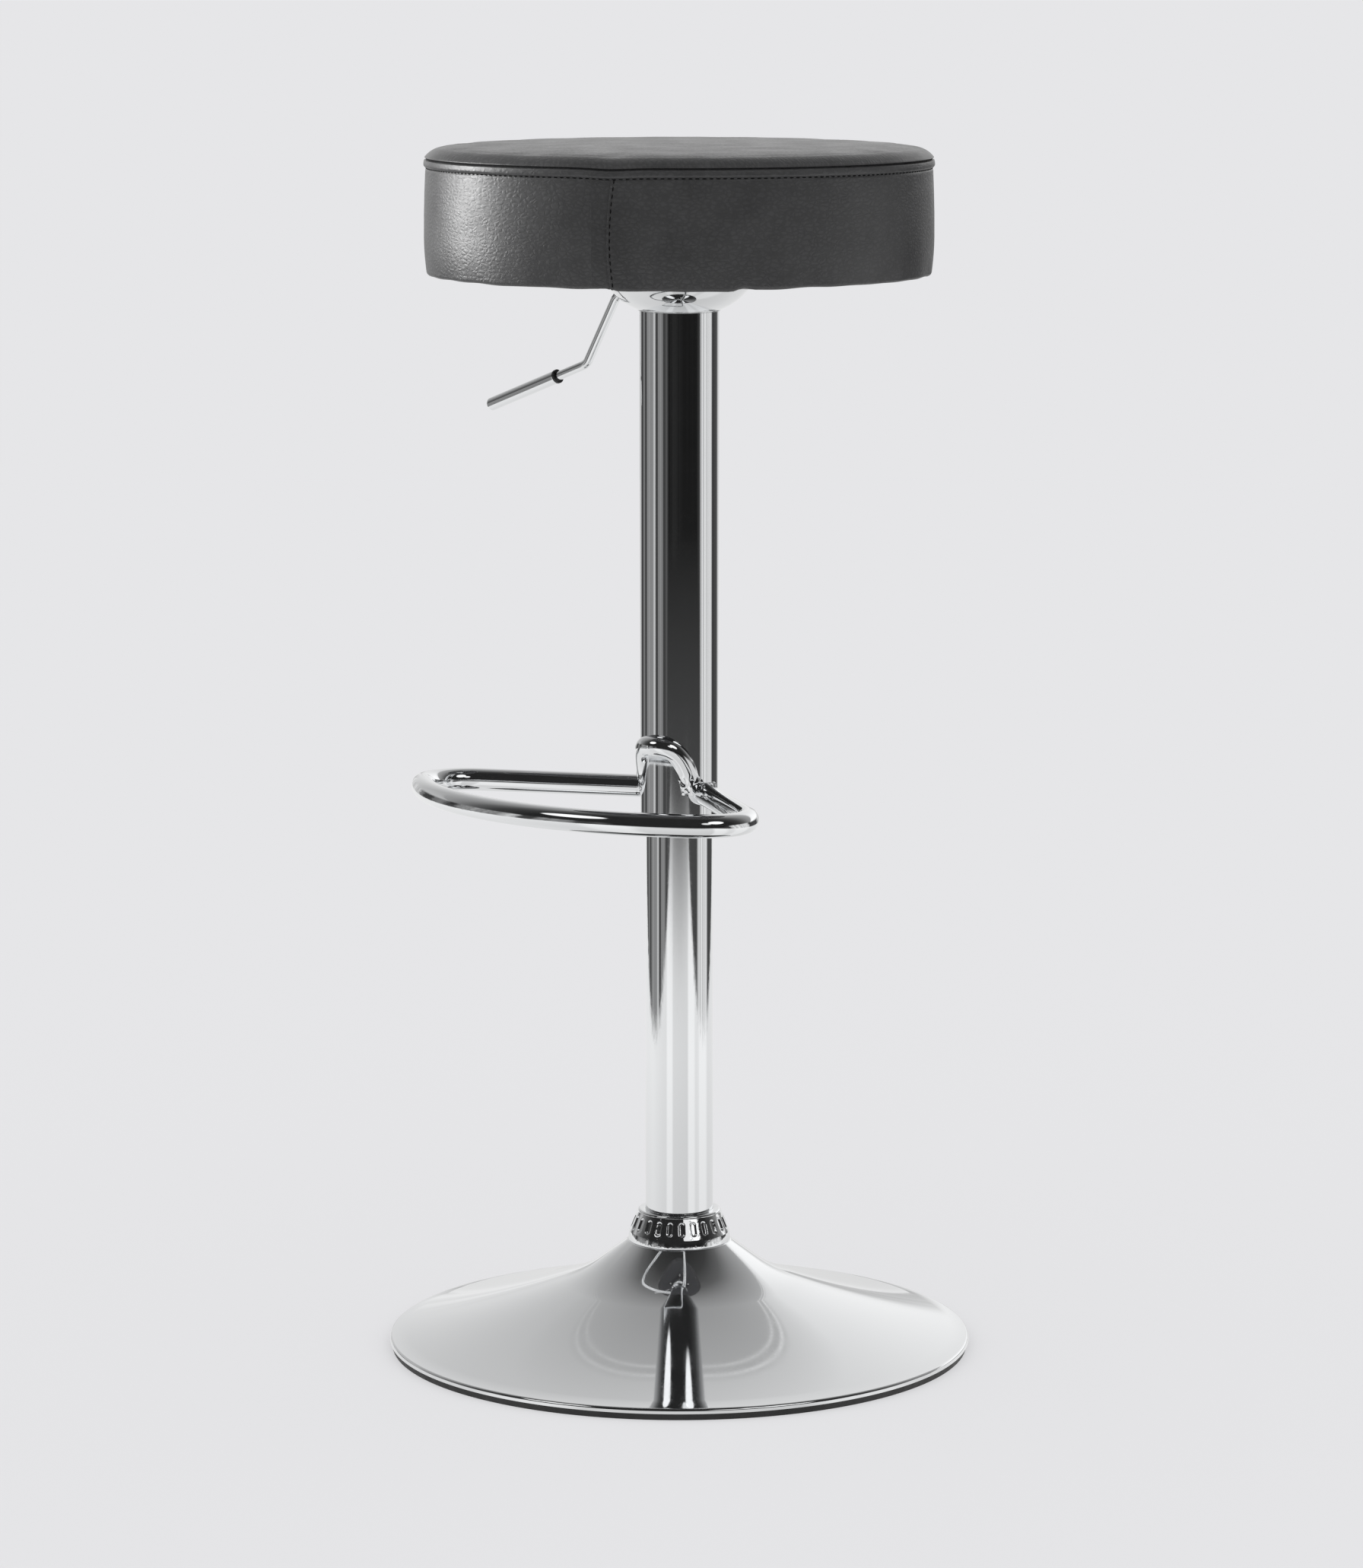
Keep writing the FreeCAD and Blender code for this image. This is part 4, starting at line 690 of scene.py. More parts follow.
class CushionOutline:
    """The cushion's outline, from the hem under the seat, over the crease, to the middle of the crown."""

    def __init__(self, settings):
        self.crease = Vector((174.2 * MM, SEAT_TOP - settings.crease_drop))
        side = trace([
            (HEM_RADIUS, SEAT_FLOOR),
            (171.0 * MM, SEAT_FLOOR, 2.5 * MM),
            (173.5 * MM, SEAT_FLOOR + 2.5 * MM, 165 * MM),
            (175.2 * MM, SEAT_FLOOR + 26 * MM, 810 * MM),
            (173.9 * MM, self.crease.y - 6.1 * MM),
            (174.8 * MM, self.crease.y - 0.8 * MM),
            tuple(self.crease),
        ], closed=False, turn_step=math.radians(1.5))
        top = trace([
            tuple(self.crease),
            (174.8 * MM, self.crease.y + 0.8 * MM, 14 * MM),
            (162.0 * MM, SEAT_TOP - 1.6 * MM, 7032 * MM),
            (12.0 * MM, SEAT_TOP),
            (0.0, SEAT_TOP),
        ], closed=False, turn_step=math.radians(1.5))
        self.points = np.array([tuple(p) for p in side + top[1:]])
        steps = np.hypot(*np.diff(self.points, axis=0).T)
        self.lengths = np.concatenate([[0.0], np.cumsum(steps)])
        self.crease_length = self.lengths[len(side) - 1]
        self.full_length = self.lengths[-1]

    def at(self, length):
        """(radius, height) at a distance along the outline from the hem."""
        return np.array([np.interp(length, self.lengths, self.points[:, k]) for k in (0, 1)])

    def normal(self, length):
        """The outward direction (radius, height) there, taken over a millimetre."""
        ahead = self.at(np.minimum(length + 0.5 * MM, self.full_length))
        behind = self.at(np.maximum(length - 0.5 * MM, 0.0))
        run = ahead - behind
        out = np.array([run[1], -run[0]])
        return out / np.maximum(np.hypot(*out), 1e-9)


def notch(distance, half_width):
    """1 in the middle of a groove, falling smoothly to 0 outside it."""
    return np.exp(-((distance / half_width) ** 2))


def waves(angle, seed, lobes):
    """A smooth, repeatable unevenness round the seat, from -1 to 1."""
    total = np.zeros_like(angle)
    for k, count in enumerate(lobes):
        phase = seed * 1.7 + k * 2.399
        total = total + np.sin(count * angle + phase) / len(lobes)
    return total


def turn_from_seam(settings, angle):
    """The turn from the upright seam, from minus to plus half a turn."""
    return (angle - settings.seam_azimuth + math.pi) % FULL_TURN - math.pi


def seam_offset(settings, outline, length, angle):
    """Distance to the right of the upright seam's fold, which bows a little to the left."""
    run = np.clip(1 - length / (outline.crease_length - settings.strip_width), 0, 1)
    bow = -3.0 * MM * np.sin(math.pi * np.clip(run * 1.25, 0, 1))
    return turn_from_seam(settings, angle) * outline.at(length)[0] - bow


def cover_relief(settings, outline, length, angle):
    """How far the cover stands out at the crease, the seams and the pulled hem."""
    below = outline.crease_length - length
    below_strip = below - settings.strip_width
    on_side = (below > 0).astype(float)
    crease = -0.9 * MM * notch(below, 0.85 * MM)
    strip = 0.95 * MM * np.sin(math.pi * np.clip(below / settings.strip_width, 0, 1) ** 1.6)
    stitched = 0.6 * MM * notch(below_strip, 0.8 * MM) * on_side
    across = seam_offset(settings, outline, length, angle)
    fold = -0.6 * MM * notch(across, 0.45 * MM) + 0.05 * MM * notch(across - STITCH_ASIDE / 2, 0.9 * MM)
    fold = fold - 0.35 * MM * notch(across - STITCH_ASIDE, 0.6 * MM)
    seam = fold * np.clip(below_strip / (1.5 * MM), 0, 1)
    pull = np.exp(-np.clip(length - HEM_EDGE, 0, None) / (11 * MM))
    hem = 0.65 * MM * pull * waves(angle, 3.0, (7, 11, 17, 23, 31)) * on_side
    side = 0.22 * MM * waves(angle, 1.0, (3, 5, 8)) * np.clip(below / (30 * MM), 0, 1) * on_side
    return crease + strip - stitched + seam + hem + side


def hem_sag(settings, angle):
    """How far the hem hangs down in front, from the upright seam to a pucker on its right."""
    run = turn_from_seam(settings, angle) * 172 * MM
    sag_end, pucker, slope = 84 * MM, 89 * MM, 4 * MM
    sag = 1.5 * MM * np.clip(run / slope, 0, 1) * np.clip((sag_end - run) / slope, 0, 1)
    return sag - 1.3 * MM * notch(run - pucker, 3.5 * MM) + 0.9 * MM * notch(run, 2.5 * MM)


def crease_dip(settings, angle):
    """The crease and the hem are pulled down a little where the upright seam ends."""
    return -0.9 * MM * notch(turn_from_seam(settings, angle) * 175 * MM, 16 * MM)


def cushion_points(settings, outline, lengths, angles, swell=0.0):
    """Points of the cover on a grid of rows (lengths) and columns (angles)."""
    length, angle = np.meshgrid(lengths, angles, indexing="ij")
    radius, height = outline.at(length)
    out = outline.normal(length)
    relief = cover_relief(settings, outline, length, angle) + swell
    radius = np.maximum(radius + out[0] * relief, 0.0)
    near_crease = notch(length - outline.crease_length, 18 * MM)
    near_hem = notch(length - HEM_EDGE, 5 * MM)
    height = height + out[1] * relief + crease_dip(settings, angle) * near_crease
    height = height - hem_sag(settings, angle) * near_hem
    return round_axis(radius, angle, height)


def swollen_points(settings, outline, swell, lengths, angles, lift=0.0):
    """Points of the swollen cover, or lifted off it."""
    return cushion_points(settings, outline, lengths, angles, spread_swell(*swell, lengths, angles) + lift)


def grid_object(name, points, uvs=None, pole=False):
    """A mesh from rows of points that close round the seat; pole joins the last row to one point."""
    rows, columns = points.shape[:2]
    grid = bmesh.new()
    vertices = [[grid.verts.new(points[row, column]) for column in range(columns)] for row in range(rows - pole)]
    if pole:
        vertices.append([grid.verts.new(points[-1].mean(axis=0))])
    uv_layer = grid.loops.layers.uv.new("UVMap") if uvs is not None else None
    for row in range(rows - 1):
        low, high = vertices[row], vertices[row + 1]
        for column in range(columns):
            after = (column + 1) % columns
            if len(high) == 1:
                corners = [(low[column], row, column), (high[0], row + 1, column), (low[after], row, column + 1)]
            else:
                corners = [
                    (low[column], row, column), (high[column], row + 1, column),
                    (high[after], row + 1, column + 1), (low[after], row, column + 1),
                ]
            face = grid.faces.new([vertex for vertex, _, _ in corners][::-1])
            if uv_layer is not None:
                for loop, (_, at_row, at_column) in zip(face.loops, corners[::-1]):
                    loop[uv_layer].uv = uvs[at_row, at_column]
    piece = object_from(name, grid)
    piece.data.shade_smooth()
    return piece


def swell_by_simulation(settings, outline):
    """Let the filling's pressure push a coarse copy of the cover out; returns rows, columns and the swell there."""
    crease = outline.crease_length
    rows = np.concatenate([np.linspace(20 * MM, crease, 22), np.linspace(crease, outline.full_length, 30)[1:]])
    column_count, frames = 120, 20
    columns = np.arange(column_count) * (FULL_TURN / column_count)
    start = cushion_points(settings, outline, rows, columns)
    start[-1] = (0, 0, SEAT_TOP)
    pad = grid_object("swelling_pad", start, pole=True)
    pinned = pad.vertex_groups.new(name="held")
    held_rows = [i for i, row in enumerate(rows) if row < HEM_EDGE + 1 * MM or abs(row - crease) < 2 * MM]
    held = [row * column_count + column for row in held_rows for column in range(column_count)]
    pinned.add(held, 1.0, "REPLACE")
    cloth = pad.modifiers.new("Cloth", "CLOTH")
    for name, value in {
        "quality": 6, "mass": 0.4, "tension_stiffness": 40, "compression_stiffness": 40, "bending_stiffness": 3,
        "use_pressure": True, "uniform_pressure_force": 4, "vertex_group_mass": "held",
    }.items():
        setattr(cloth.settings, name, value)
    cloth.settings.effector_weights.gravity = 0
    scene = bpy.context.scene
    for frame_number in range(1, frames + 1):
        scene.frame_set(frame_number)
    swollen = pad.evaluated_get(bpy.context.evaluated_depsgraph_get()).to_mesh()
    ends = np.array([vertex.co for vertex in swollen.vertices])
    scene.frame_set(1)
    bpy.data.objects.remove(pad)
    pole = np.repeat(ends[-1:][None], column_count, axis=1)
    moved = np.concatenate([ends[:-1].reshape(-1, column_count, 3), pole]) - start
    length, angle = np.meshgrid(rows, columns, indexing="ij")
    out = outline.normal(length)
    swell = (moved * round_axis(out[0], angle, out[1])).sum(axis=-1)
    return rows, columns, settings.swell * np.tanh(swell / settings.swell)


def spread_swell(rows, columns, swell, lengths, angles):
    """The simulated swell, carried smoothly to a finer grid."""
    turned = np.concatenate([columns, [FULL_TURN]])
    by_column = np.array([np.interp(angles % FULL_TURN, turned, np.append(row, row[0])) for row in swell])
    fine = np.array([np.interp(lengths, rows, by_column[:, k]) for k in range(len(angles))]).T
    for _ in range(6):
        fine = (np.roll(fine, 1, axis=1) + 2 * fine + np.roll(fine, -1, axis=1)) / 4
        fine[1:-1] = (fine[:-2] + 2 * fine[1:-1] + fine[2:]) / 4
    return fine


def cushion_angles(settings):
    """Columns round the seat, closer together within 13 mm of the upright seam."""
    near = 0.075
    close = np.arange(-near, near, 0.55 * MM / SIDE_RADIUS)
    rest = np.linspace(near, FULL_TURN - near, 280)[:-1]
    return np.concatenate([close, rest]) + settings.seam_azimuth


def thicken(piece, thickness):
    """Give an open cover its thickness, inward."""
    shell = piece.modifiers.new("Thickness", "SOLIDIFY")
    shell.thickness = thickness
    shell.offset = -1.0
    shell.use_even_offset = True
    apply_modifiers(piece)


def seam_line(name, points, closed):
    """A line of edges for stitches to follow."""
    mesh = bpy.data.meshes.new(name)
    count = len(points)
    edges = [(i, i + 1) for i in range(count - 1)] + ([(count - 1, 0)] if closed else [])
    mesh.from_pydata([tuple(p) for p in points], edges, [])
    return new_object(name, mesh)


class STOOL_OT_cushion(bpy.types.Operator):
    """Make the cushion: foam, top panel, side band and stitches"""

    bl_idname = "stool.cushion"
    bl_label = "Cushion"

    def execute(self, context):
        settings = context.scene.stool_cushion
        outline = CushionOutline(settings)
        swell = swell_by_simulation(settings, outline)
        leather = leather_finish()
        crease = outline.crease_length
        stitched = crease - settings.strip_width
        angles = cushion_angles(settings)
        edge_start, edge_end = HEM_EDGE - 2 * MM, HEM_EDGE + 2 * MM
        row_start, row_end = stitched - 2.5 * MM, stitched + 2 * MM
        side_rows = np.unique(np.concatenate([
            np.linspace(0, edge_start, 9), np.linspace(edge_start, edge_end, 7), np.linspace(edge_end, row_start, 34),
            np.arange(row_start, row_end, 0.4 * MM), np.linspace(row_end, crease, 14),
        ]))
        fine_end, round_end = crease + 3 * MM, crease + 20 * MM
        top_rows = np.unique(np.concatenate([
            np.arange(crease, fine_end, 0.4 * MM), np.linspace(fine_end, round_end, 15),
            np.linspace(round_end, outline.full_length, 34),
        ]))
        wrapped = np.append(angles, angles[0] + FULL_TURN)
        made = []
        for name, rows, pole in (("seat_side_cover", side_rows, False), ("seat_top_cover", top_rows, True)):
            points = swollen_points(settings, outline, swell, rows, angles)
            if pole:
                points[-1] = points[-1].mean(axis=0)
                flat = np.concatenate([points, points[:, :1]], axis=1)[..., :2]
            else:
                flat = np.stack(np.meshgrid(rows, wrapped * SIDE_RADIUS, indexing="ij")[::-1], axis=-1)
            cover = grid_object(name, points, flat, pole)
            thicken(cover, 1.15 * MM)
            made.append(cover)
        place(made[0], leather, "lift", "black_leather", "cover_side_band")
        place(made[1], leather, "lift", "black_leather", "cover_top_panel")
        self.sew(settings, outline, swell, stitched)
        self.fill(outline)
        return {"FINISHED"}

    def sew(self, settings, outline, swell, stitched):
        """Stitches below the crease and beside the upright seam."""
        thread = worn_finish(
            "sewing_thread", tuple(settings.thread), (900.0, 0.7, 0.9), 0.05 * MM, Specular_IOR_Level=0.08
        )
        lift = 0.1 * MM
        angles = np.linspace(0, FULL_TURN, 720, endpoint=False)
        around = swollen_points(settings, outline, swell, np.array([stitched]), angles, lift)[0]
        seam = settings.seam_azimuth
        down = []
        for length in np.linspace(HEM_EDGE + 3 * MM, stitched - 1.5 * MM, 60):
            aside = STITCH_ASIDE - float(seam_offset(settings, outline, np.array(length), np.array(seam)))
            here, angle = np.array([length]), np.array([seam + aside / outline.at(length)[0]])
            down.append(swollen_points(settings, outline, swell, here, angle, lift)[0, 0])
        for name, line, closed in (("crease_stitches", around, True), ("upright_stitches", down, False)):
            stitches = seam_line(name, line, closed)
            run_tree(
                stitches, stitches_tree(), Pitch=settings.stitch_pitch, Stitch_Length=settings.stitch_length,
                Thread_Thickness=settings.thread_thickness, Finish=thread,
            )
            place(stitches, None, "lift", "black_leather")

    def fill(self, outline):
        """The foam pad under the cover, resting on the board."""
        inset, gap = 1.7 * MM, 0.2 * MM
        lengths = np.linspace(HEM_EDGE, outline.full_length, 90)
        radius, height = outline.at(lengths) - outline.normal(lengths) * inset
        shell = [Vector((max(r, 0.0), h)) for r, h in zip(radius, height)]
        shell[-1].x = 0.0
        floor, inner = SEAT_FLOOR + inset, BOARD_RADIUS + gap
        points = [Vector((inner, floor)), *[p for p in shell if p.y > floor]]
        points += [Vector((0.0, BOARD_TOP + gap)), Vector((inner, BOARD_TOP + gap))]
        foam = lathe("cushion_pad", points, segments=144)
        for vertex in foam.data.vertices:
            if vertex.co.z > floor + 1 * MM and vertex.co.xy.length > 1 * MM:
                vertex.co -= vertex.co.normalized() * 0.15 * MM * (1 + noise.noise(vertex.co * 90))
        finish = pebbled_finish(
            "cushion_foam", (0.78, 0.70, 0.50), ((0.68, 0.59, 0.40), (0.82, 0.74, 0.55)), 30.0, (700.0, 260.0, 0.7),
            0.7, 0.3 * MM, Roughness=0.95,
        )
        place(foam, finish, "lift", "cushion_foam", "seat_foam")


class STOOL_OT_underside(bpy.types.Operator):
    """Make the cloth under the seat, its staples and the seat's screws"""

    bl_idname = "stool.underside"
    bl_label = "Underside"

    def execute(self, context):
        self.stretch_cloth()
        steel = shared_finish("bright_steel")
        wire = 0.6 * MM
        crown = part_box("staples")[0].z + wire / 2
        reach, half, bend = 152.6 * MM, 4.7 * MM, 0.35 * MM
        bent_end = [(half, 1.0 * MM), (half, bend), (half - bend, 0.0)]
        bent = [(-across, rise) for across, rise in bent_end] + bent_end[::-1]
        path = [Vector((reach, across, crown + rise)) for across, rise in bent]
        staple = sweep("staple_row", path, wire / 2, segments=8)
        copy_round(staple, STAPLE_COUNT, steel)
        place(staple, None, "lift", "bright_steel", "staples")
        self.seat_screws(steel)
        return {"FINISHED"}

    def stretch_cloth(self):
        """A cloth drawn flat over the hem and up to the board between the staples."""
        low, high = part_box("dust_cover")
        outer, thickness = high.x, 0.5 * MM
        slope_start, slope_end = 112 * MM, HEM_RADIUS - 1 * MM
        rows = np.concatenate([np.linspace(0, 105 * MM, 22), np.linspace(110 * MM, outer, 40)])
        columns = np.arange(288) * (FULL_TURN / 288)
        radius, angle = np.meshgrid(rows, columns, indexing="ij")
        over_hem = np.clip((radius - slope_start) / (slope_end - slope_start), 0, 1)
        height = high.z - over_hem * (high.z - low.z - thickness)
        pull = notch(radius - 152 * MM, 7 * MM)
        height = height - 0.22 * MM * pull * (1 - np.cos(STAPLE_COUNT * angle)) * 0.5
        height = height - 0.25 * MM * np.clip(1 - over_hem, 0, 1) * (0.5 + 0.5 * waves(angle, 5.0, (2, 5, 9)))
        cloth = grid_object("underside_cloth", round_axis(radius, angle, height)[::-1], pole=True)
        for face in cloth.data.polygons:
            face.flip()
        thicken(cloth, thickness * 0.9)
        finish = pebbled_finish(
            "underside_cloth", (0.05, 0.05, 0.052), ((0.035, 0.035, 0.037), (0.085, 0.085, 0.088)), 260.0,
            (900.0, 420.0, 1.4), 0.6, 0.1 * MM, Roughness=0.9, Sheen_Weight=0.15,
        )
        place(cloth, finish, "lift", "dust_cloth", "dust_cover")

    def seat_screws(self, steel):
        """Button-head screws with a six-sided socket, pointing up into the seat."""
        low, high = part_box("seat_screws")
        head = 5.5 * MM
        offset = (low.x + head, low.y + head)
        screw = socket_screw("cushion_screws", offset, low.z, high.z, head_radius=head, head_height=4 * MM)
        copy_round(screw, 4, steel)
        place(screw, None, "lift", "bright_steel", "seat_screws")


def hexagon(across):
    """The radius of a hexagon, as a function of the angle."""
    return lambda angle: across / 2 / math.cos((angle + math.pi / 6) % (math.pi / 3) - math.pi / 6)


def socket_screw(name, offset, floor, top, head_radius, head_height, countersunk=False):
    """A 6 mm screw with its head down and a 4 mm hexagon socket in it."""
    shank, socket_width = 3 * MM, 4 * MM
    grid = bmesh.new()
    angles = [FULL_TURN * i / 48 for i in range(48)]
    depth = head_height * 0.55
    round_off = 0.2 * MM if countersunk else head_height * 0.42
    rim = head_radius - round_off
    rings = [(0.0, floor + depth), (hexagon(socket_width), floor + depth), (hexagon(socket_width), floor)]
    if countersunk:
        rings += [(rim, floor), (head_radius, floor + round_off), (shank, floor + head_height)]
    else:
        for step in range(6):
            lean = step / 5 * math.pi / 2
            rings.append((rim + round_off * math.sin(lean), floor + round_off * (1 - math.cos(lean))))
        rings += [(head_radius, floor + head_height), (shank, floor + head_height)]
    rings += [(shank, top - 0.5 * MM), (shank - 0.5 * MM, top), (0.0, top)]
    made = [ring_of_vertices(grid, radius, height, angles) for radius, height in rings]
    for lower, upper in zip(made, made[1:]):
        bridge(grid, lower, upper)
    bmesh.ops.translate(grid, verts=grid.verts, vec=(*offset, 0))
    return finish_mesh(name, grid, sharp_degrees=30)


# ---------------------------------------------------------------- chrome


def base_corners():
    """The pressed base's outline, outside then inside."""
    wall = TUBE_WALL
    inside = wall * 0.5
    down = wall * 0.87
    land_step, land_lip = 1.6 * MM, 1.0 * MM
    neck = Vector((37.2 * MM, LAND_HEIGHT - land_lip))
    throat = Vector((58 * MM, 58.6 * MM))
    dish = Vector((82 * MM, 45.2 * MM))
    rim, roll = 8.3 * MM, 2 * MM
    return [
        (INNER_RADIUS, LAND_HEIGHT),
        (neck.x - land_step, LAND_HEIGHT, -2.6 * MM),
        (neck.x, neck.y),
        (throat.x, throat.y, 103 * MM),
        (dish.x, dish.y, 797 * MM),
        (BASE_RADIUS - roll, rim, -roll),
        (BASE_RADIUS, rim - roll),
        (BASE_RADIUS, SHELL_FLOOR),
        (BASE_RADIUS - wall, SHELL_FLOOR),
        (BASE_RADIUS - wall, rim - roll),
        (BASE_RADIUS - roll - inside, rim - down, -797 * MM),
        (dish.x - inside, dish.y - down, -103 * MM),
        (throat.x - inside, throat.y - down),
        (neck.x - inside, neck.y - down),
        (neck.x - land_step - wall, LAND_HEIGHT - wall),
        (INNER_RADIUS, LAND_HEIGHT - wall),
    ]


def collar_sector(settings):
    """One sector of the collar, with one oval recess pressed into its cone."""
    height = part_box("base_collar")[1].z - LAND_HEIGHT
    foot, band, band_height = 36.0 * MM, 35.4 * MM, 6.0 * MM
    top, lip, wall = INNER_RADIUS + 5.55 * MM, 1.7 * MM, 1.8 * MM
    cone_top = height - lip
    outline = trace([
        (foot - wall - 0.3 * MM, 0), (foot, 0), (band, band_height), (top, cone_top, lip), (top - lip, height),
        (INNER_RADIUS, height), (INNER_RADIUS, height - wall), (top - wall, height - wall),
    ])
    outline = ease(outline, 0.35 * MM)
    outside = INNER_RADIUS + 4 * MM
    dense = []
    for i, point in enumerate(outline):
        after = outline[(i + 1) % len(outline)]
        on_cone = after.y - point.y > 10 * MM and point.x > outside
        steps = 44 if on_cone else 1
        dense += [point.lerp(after, k / steps) for k in range(steps)]
    half_width, half_length = 1.8 * MM, 4.5 * MM
    middle = (band_height + cone_top) / 2
    half_angle = math.pi / settings.recess_count
    columns = 18
    grid = bmesh.new()
    rows = []
    for radius, rise in dense:
        row = []
        for k in range(columns + 1):
            angle = half_angle * (2 * k / columns - 1)
            along = max(abs(rise - middle) - (half_length - half_width), 0.0)
            distance = math.hypot(angle * radius, along) - half_width
            sink = 0.0
            if radius > outside and rise > band_height:
                share = min(max((0.35 * MM - distance) / (0.9 * MM), 0.0), 1.0)
                sink = settings.recess_depth * share * share * (3 - 2 * share)
            reach = radius - sink
            row.append(grid.verts.new((reach * math.cos(angle), reach * math.sin(angle), LAND_HEIGHT + rise)))
        rows.append(row)
    for low, high in zip(rows, rows[1:] + rows[:1]):
        bridge(grid, low, high, wrap=False)
    return finish_mesh("polished_collar", grid)


class STOOL_OT_base(bpy.types.Operator):
    """Make the polished base and the collar with its recesses"""

    bl_idname = "stool.base"
    bl_label = "Base"

    def execute(self, context):
        settings = context.scene.stool_metal
        chrome = shared_finish("chrome")
        outline = ease(trace(base_corners(), turn_step=math.radians(0.8)), 0.3 * MM)
        base = lathe("polished_base", outline, segments=360)
        place(base, chrome, "base", "chrome", "base_shell")
        collar = collar_sector(settings)
        uneven = chrome_finish("uneven_chrome", (26.0, 0.03, 0.1), 0.09 * MM)
        copy_round(collar, settings.recess_count, uneven, weld=0.01 * MM)
        shade(collar, 50)
        place(collar, None, "base", "chrome", "base_collar")
        low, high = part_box("socket_screws")
        head = 5.8 * MM
        screw = socket_screw(
            "base_screws", (high.x - head, 0), low.z, high.z, head_radius=head, head_height=2 * MM, countersunk=True
        )
        copy_round(screw, 4, shared_finish("bright_steel"))
        place(screw, None, "base", "bright_steel", "socket_screws")
        return {"FINISHED"}


class STOOL_OT_column(bpy.types.Operator):
    """Make the two polished column tubes and the cup under the seat"""

    bl_idname = "stool.column"
    bl_label = "Column"

    def execute(self, context):
        chrome = shared_finish("chrome")
        for name, node, body in (
            ("inner_column", "lower_column_tube", "base"), ("outer_column", "upper_column_tube", "lift"),
        ):
            low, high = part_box(node)
            outline = trace([
                (high.x - TUBE_WALL, low.z), (high.x, low.z), (high.x, high.z), (high.x - TUBE_WALL, high.z),
            ])
            tube = lathe(name, ease(outline, 0.4 * MM), segments=360)
            place(tube, chrome, body, "chrome", node)
        # Painted shade: the cup's chrome is a darker copy of the plating, so that its reflections show dimmer under the
        # seat.
        cup_chrome = chrome_finish("cup_chrome", (35.0, 0.03, 0.09), 0.004 * MM, tone=0.88)
        place(self.cup(), cup_chrome, "lift", "chrome", "bell_cup")
        return {"FINISHED"}

    def cup(self):
        """The pressed cup, open on the lever's side."""
        wall, hub = 1.2 * MM, 19 * MM
        lip = COLUMN_RADIUS + 1.1 * MM
        rise = CUP_TOP - CUP_FLOOR
        bow = 40 * MM
        outline = trace([
            (hub, 0), (lip, 0), (lip, 0.6 * MM, bow), (CUP_RADIUS, rise), (CUP_RADIUS - wall, rise, wall - bow),
            (lip - wall, wall), (hub, wall),
        ], turn_step=math.radians(1))
        outline = [Vector((p.x, p.y + CUP_FLOOR)) for p in ease(outline, 0.3 * MM)]
        cup = lathe("underseat_cup", outline, segments=360)
        slot_floor, slot_height, half_width = PIVOT.z - 7.8 * MM, 13.8 * MM, 5 * MM
        cut_away(cup, box_mesh(
            "slot_cutter", (-60 * MM, -half_width, slot_floor), (-19.5 * MM, half_width, slot_floor + slot_height)
        ))
        return cup


def bend_points(before, corner, after, radius):
    """Points of the arc that rounds one corner of a path in space."""
    to_before, to_after = (before - corner).normalized(), (after - corner).normalized()
    turn = math.pi - to_before.angle(to_after)
    setback = radius * math.tan(turn / 2)
    start = corner + to_before * setback
    axis = to_after.cross(to_before).normalized()
    inward = axis.cross(to_before).normalized()
    if inward.dot(to_after) < 0:
        inward = -inward
    centre = start + inward * radius
    spoke = start - centre
    steps = max(3, math.ceil(turn / math.radians(4)))
    missed = Matrix.Rotation(turn, 3, axis) @ spoke + centre - corner - to_after * setback
    sense = 1 if missed.length < radius * 0.02 else -1
    return [centre + Matrix.Rotation(sense * turn * k / steps, 3, axis) @ spoke for k in range(steps + 1)]


def spaced(start, end, count):
    """Points from start to end, without the end."""
    return [start.lerp(end, k / count) for k in range(count)]


def lean_on_column(piece, radius, blend, weld_top):
    """Flow a bar's end onto the column like a weld, lumpy below a height; no point comes inside the tube."""
    lump_height, lump_scale, fade = 2.2 * MM, 260, 5 * MM
    for vertex in piece.data.vertices:
        reach = max(vertex.co.xy.length, 1e-6)
        if reach < radius + 2 * blend:
            share = max(blend - abs(reach - radius), 0.0) / blend
            lump = abs(noise.noise(vertex.co * lump_scale)) * min((radius + 2 * blend - reach) / blend, 1.0)
            low = min(max((weld_top - vertex.co.z) / fade, 0.0), 1.0)
            held = max(reach, radius) + share * share * blend / 4 + lump * low * lump_height
            vertex.co.xy = vertex.co.xy * (held / reach)


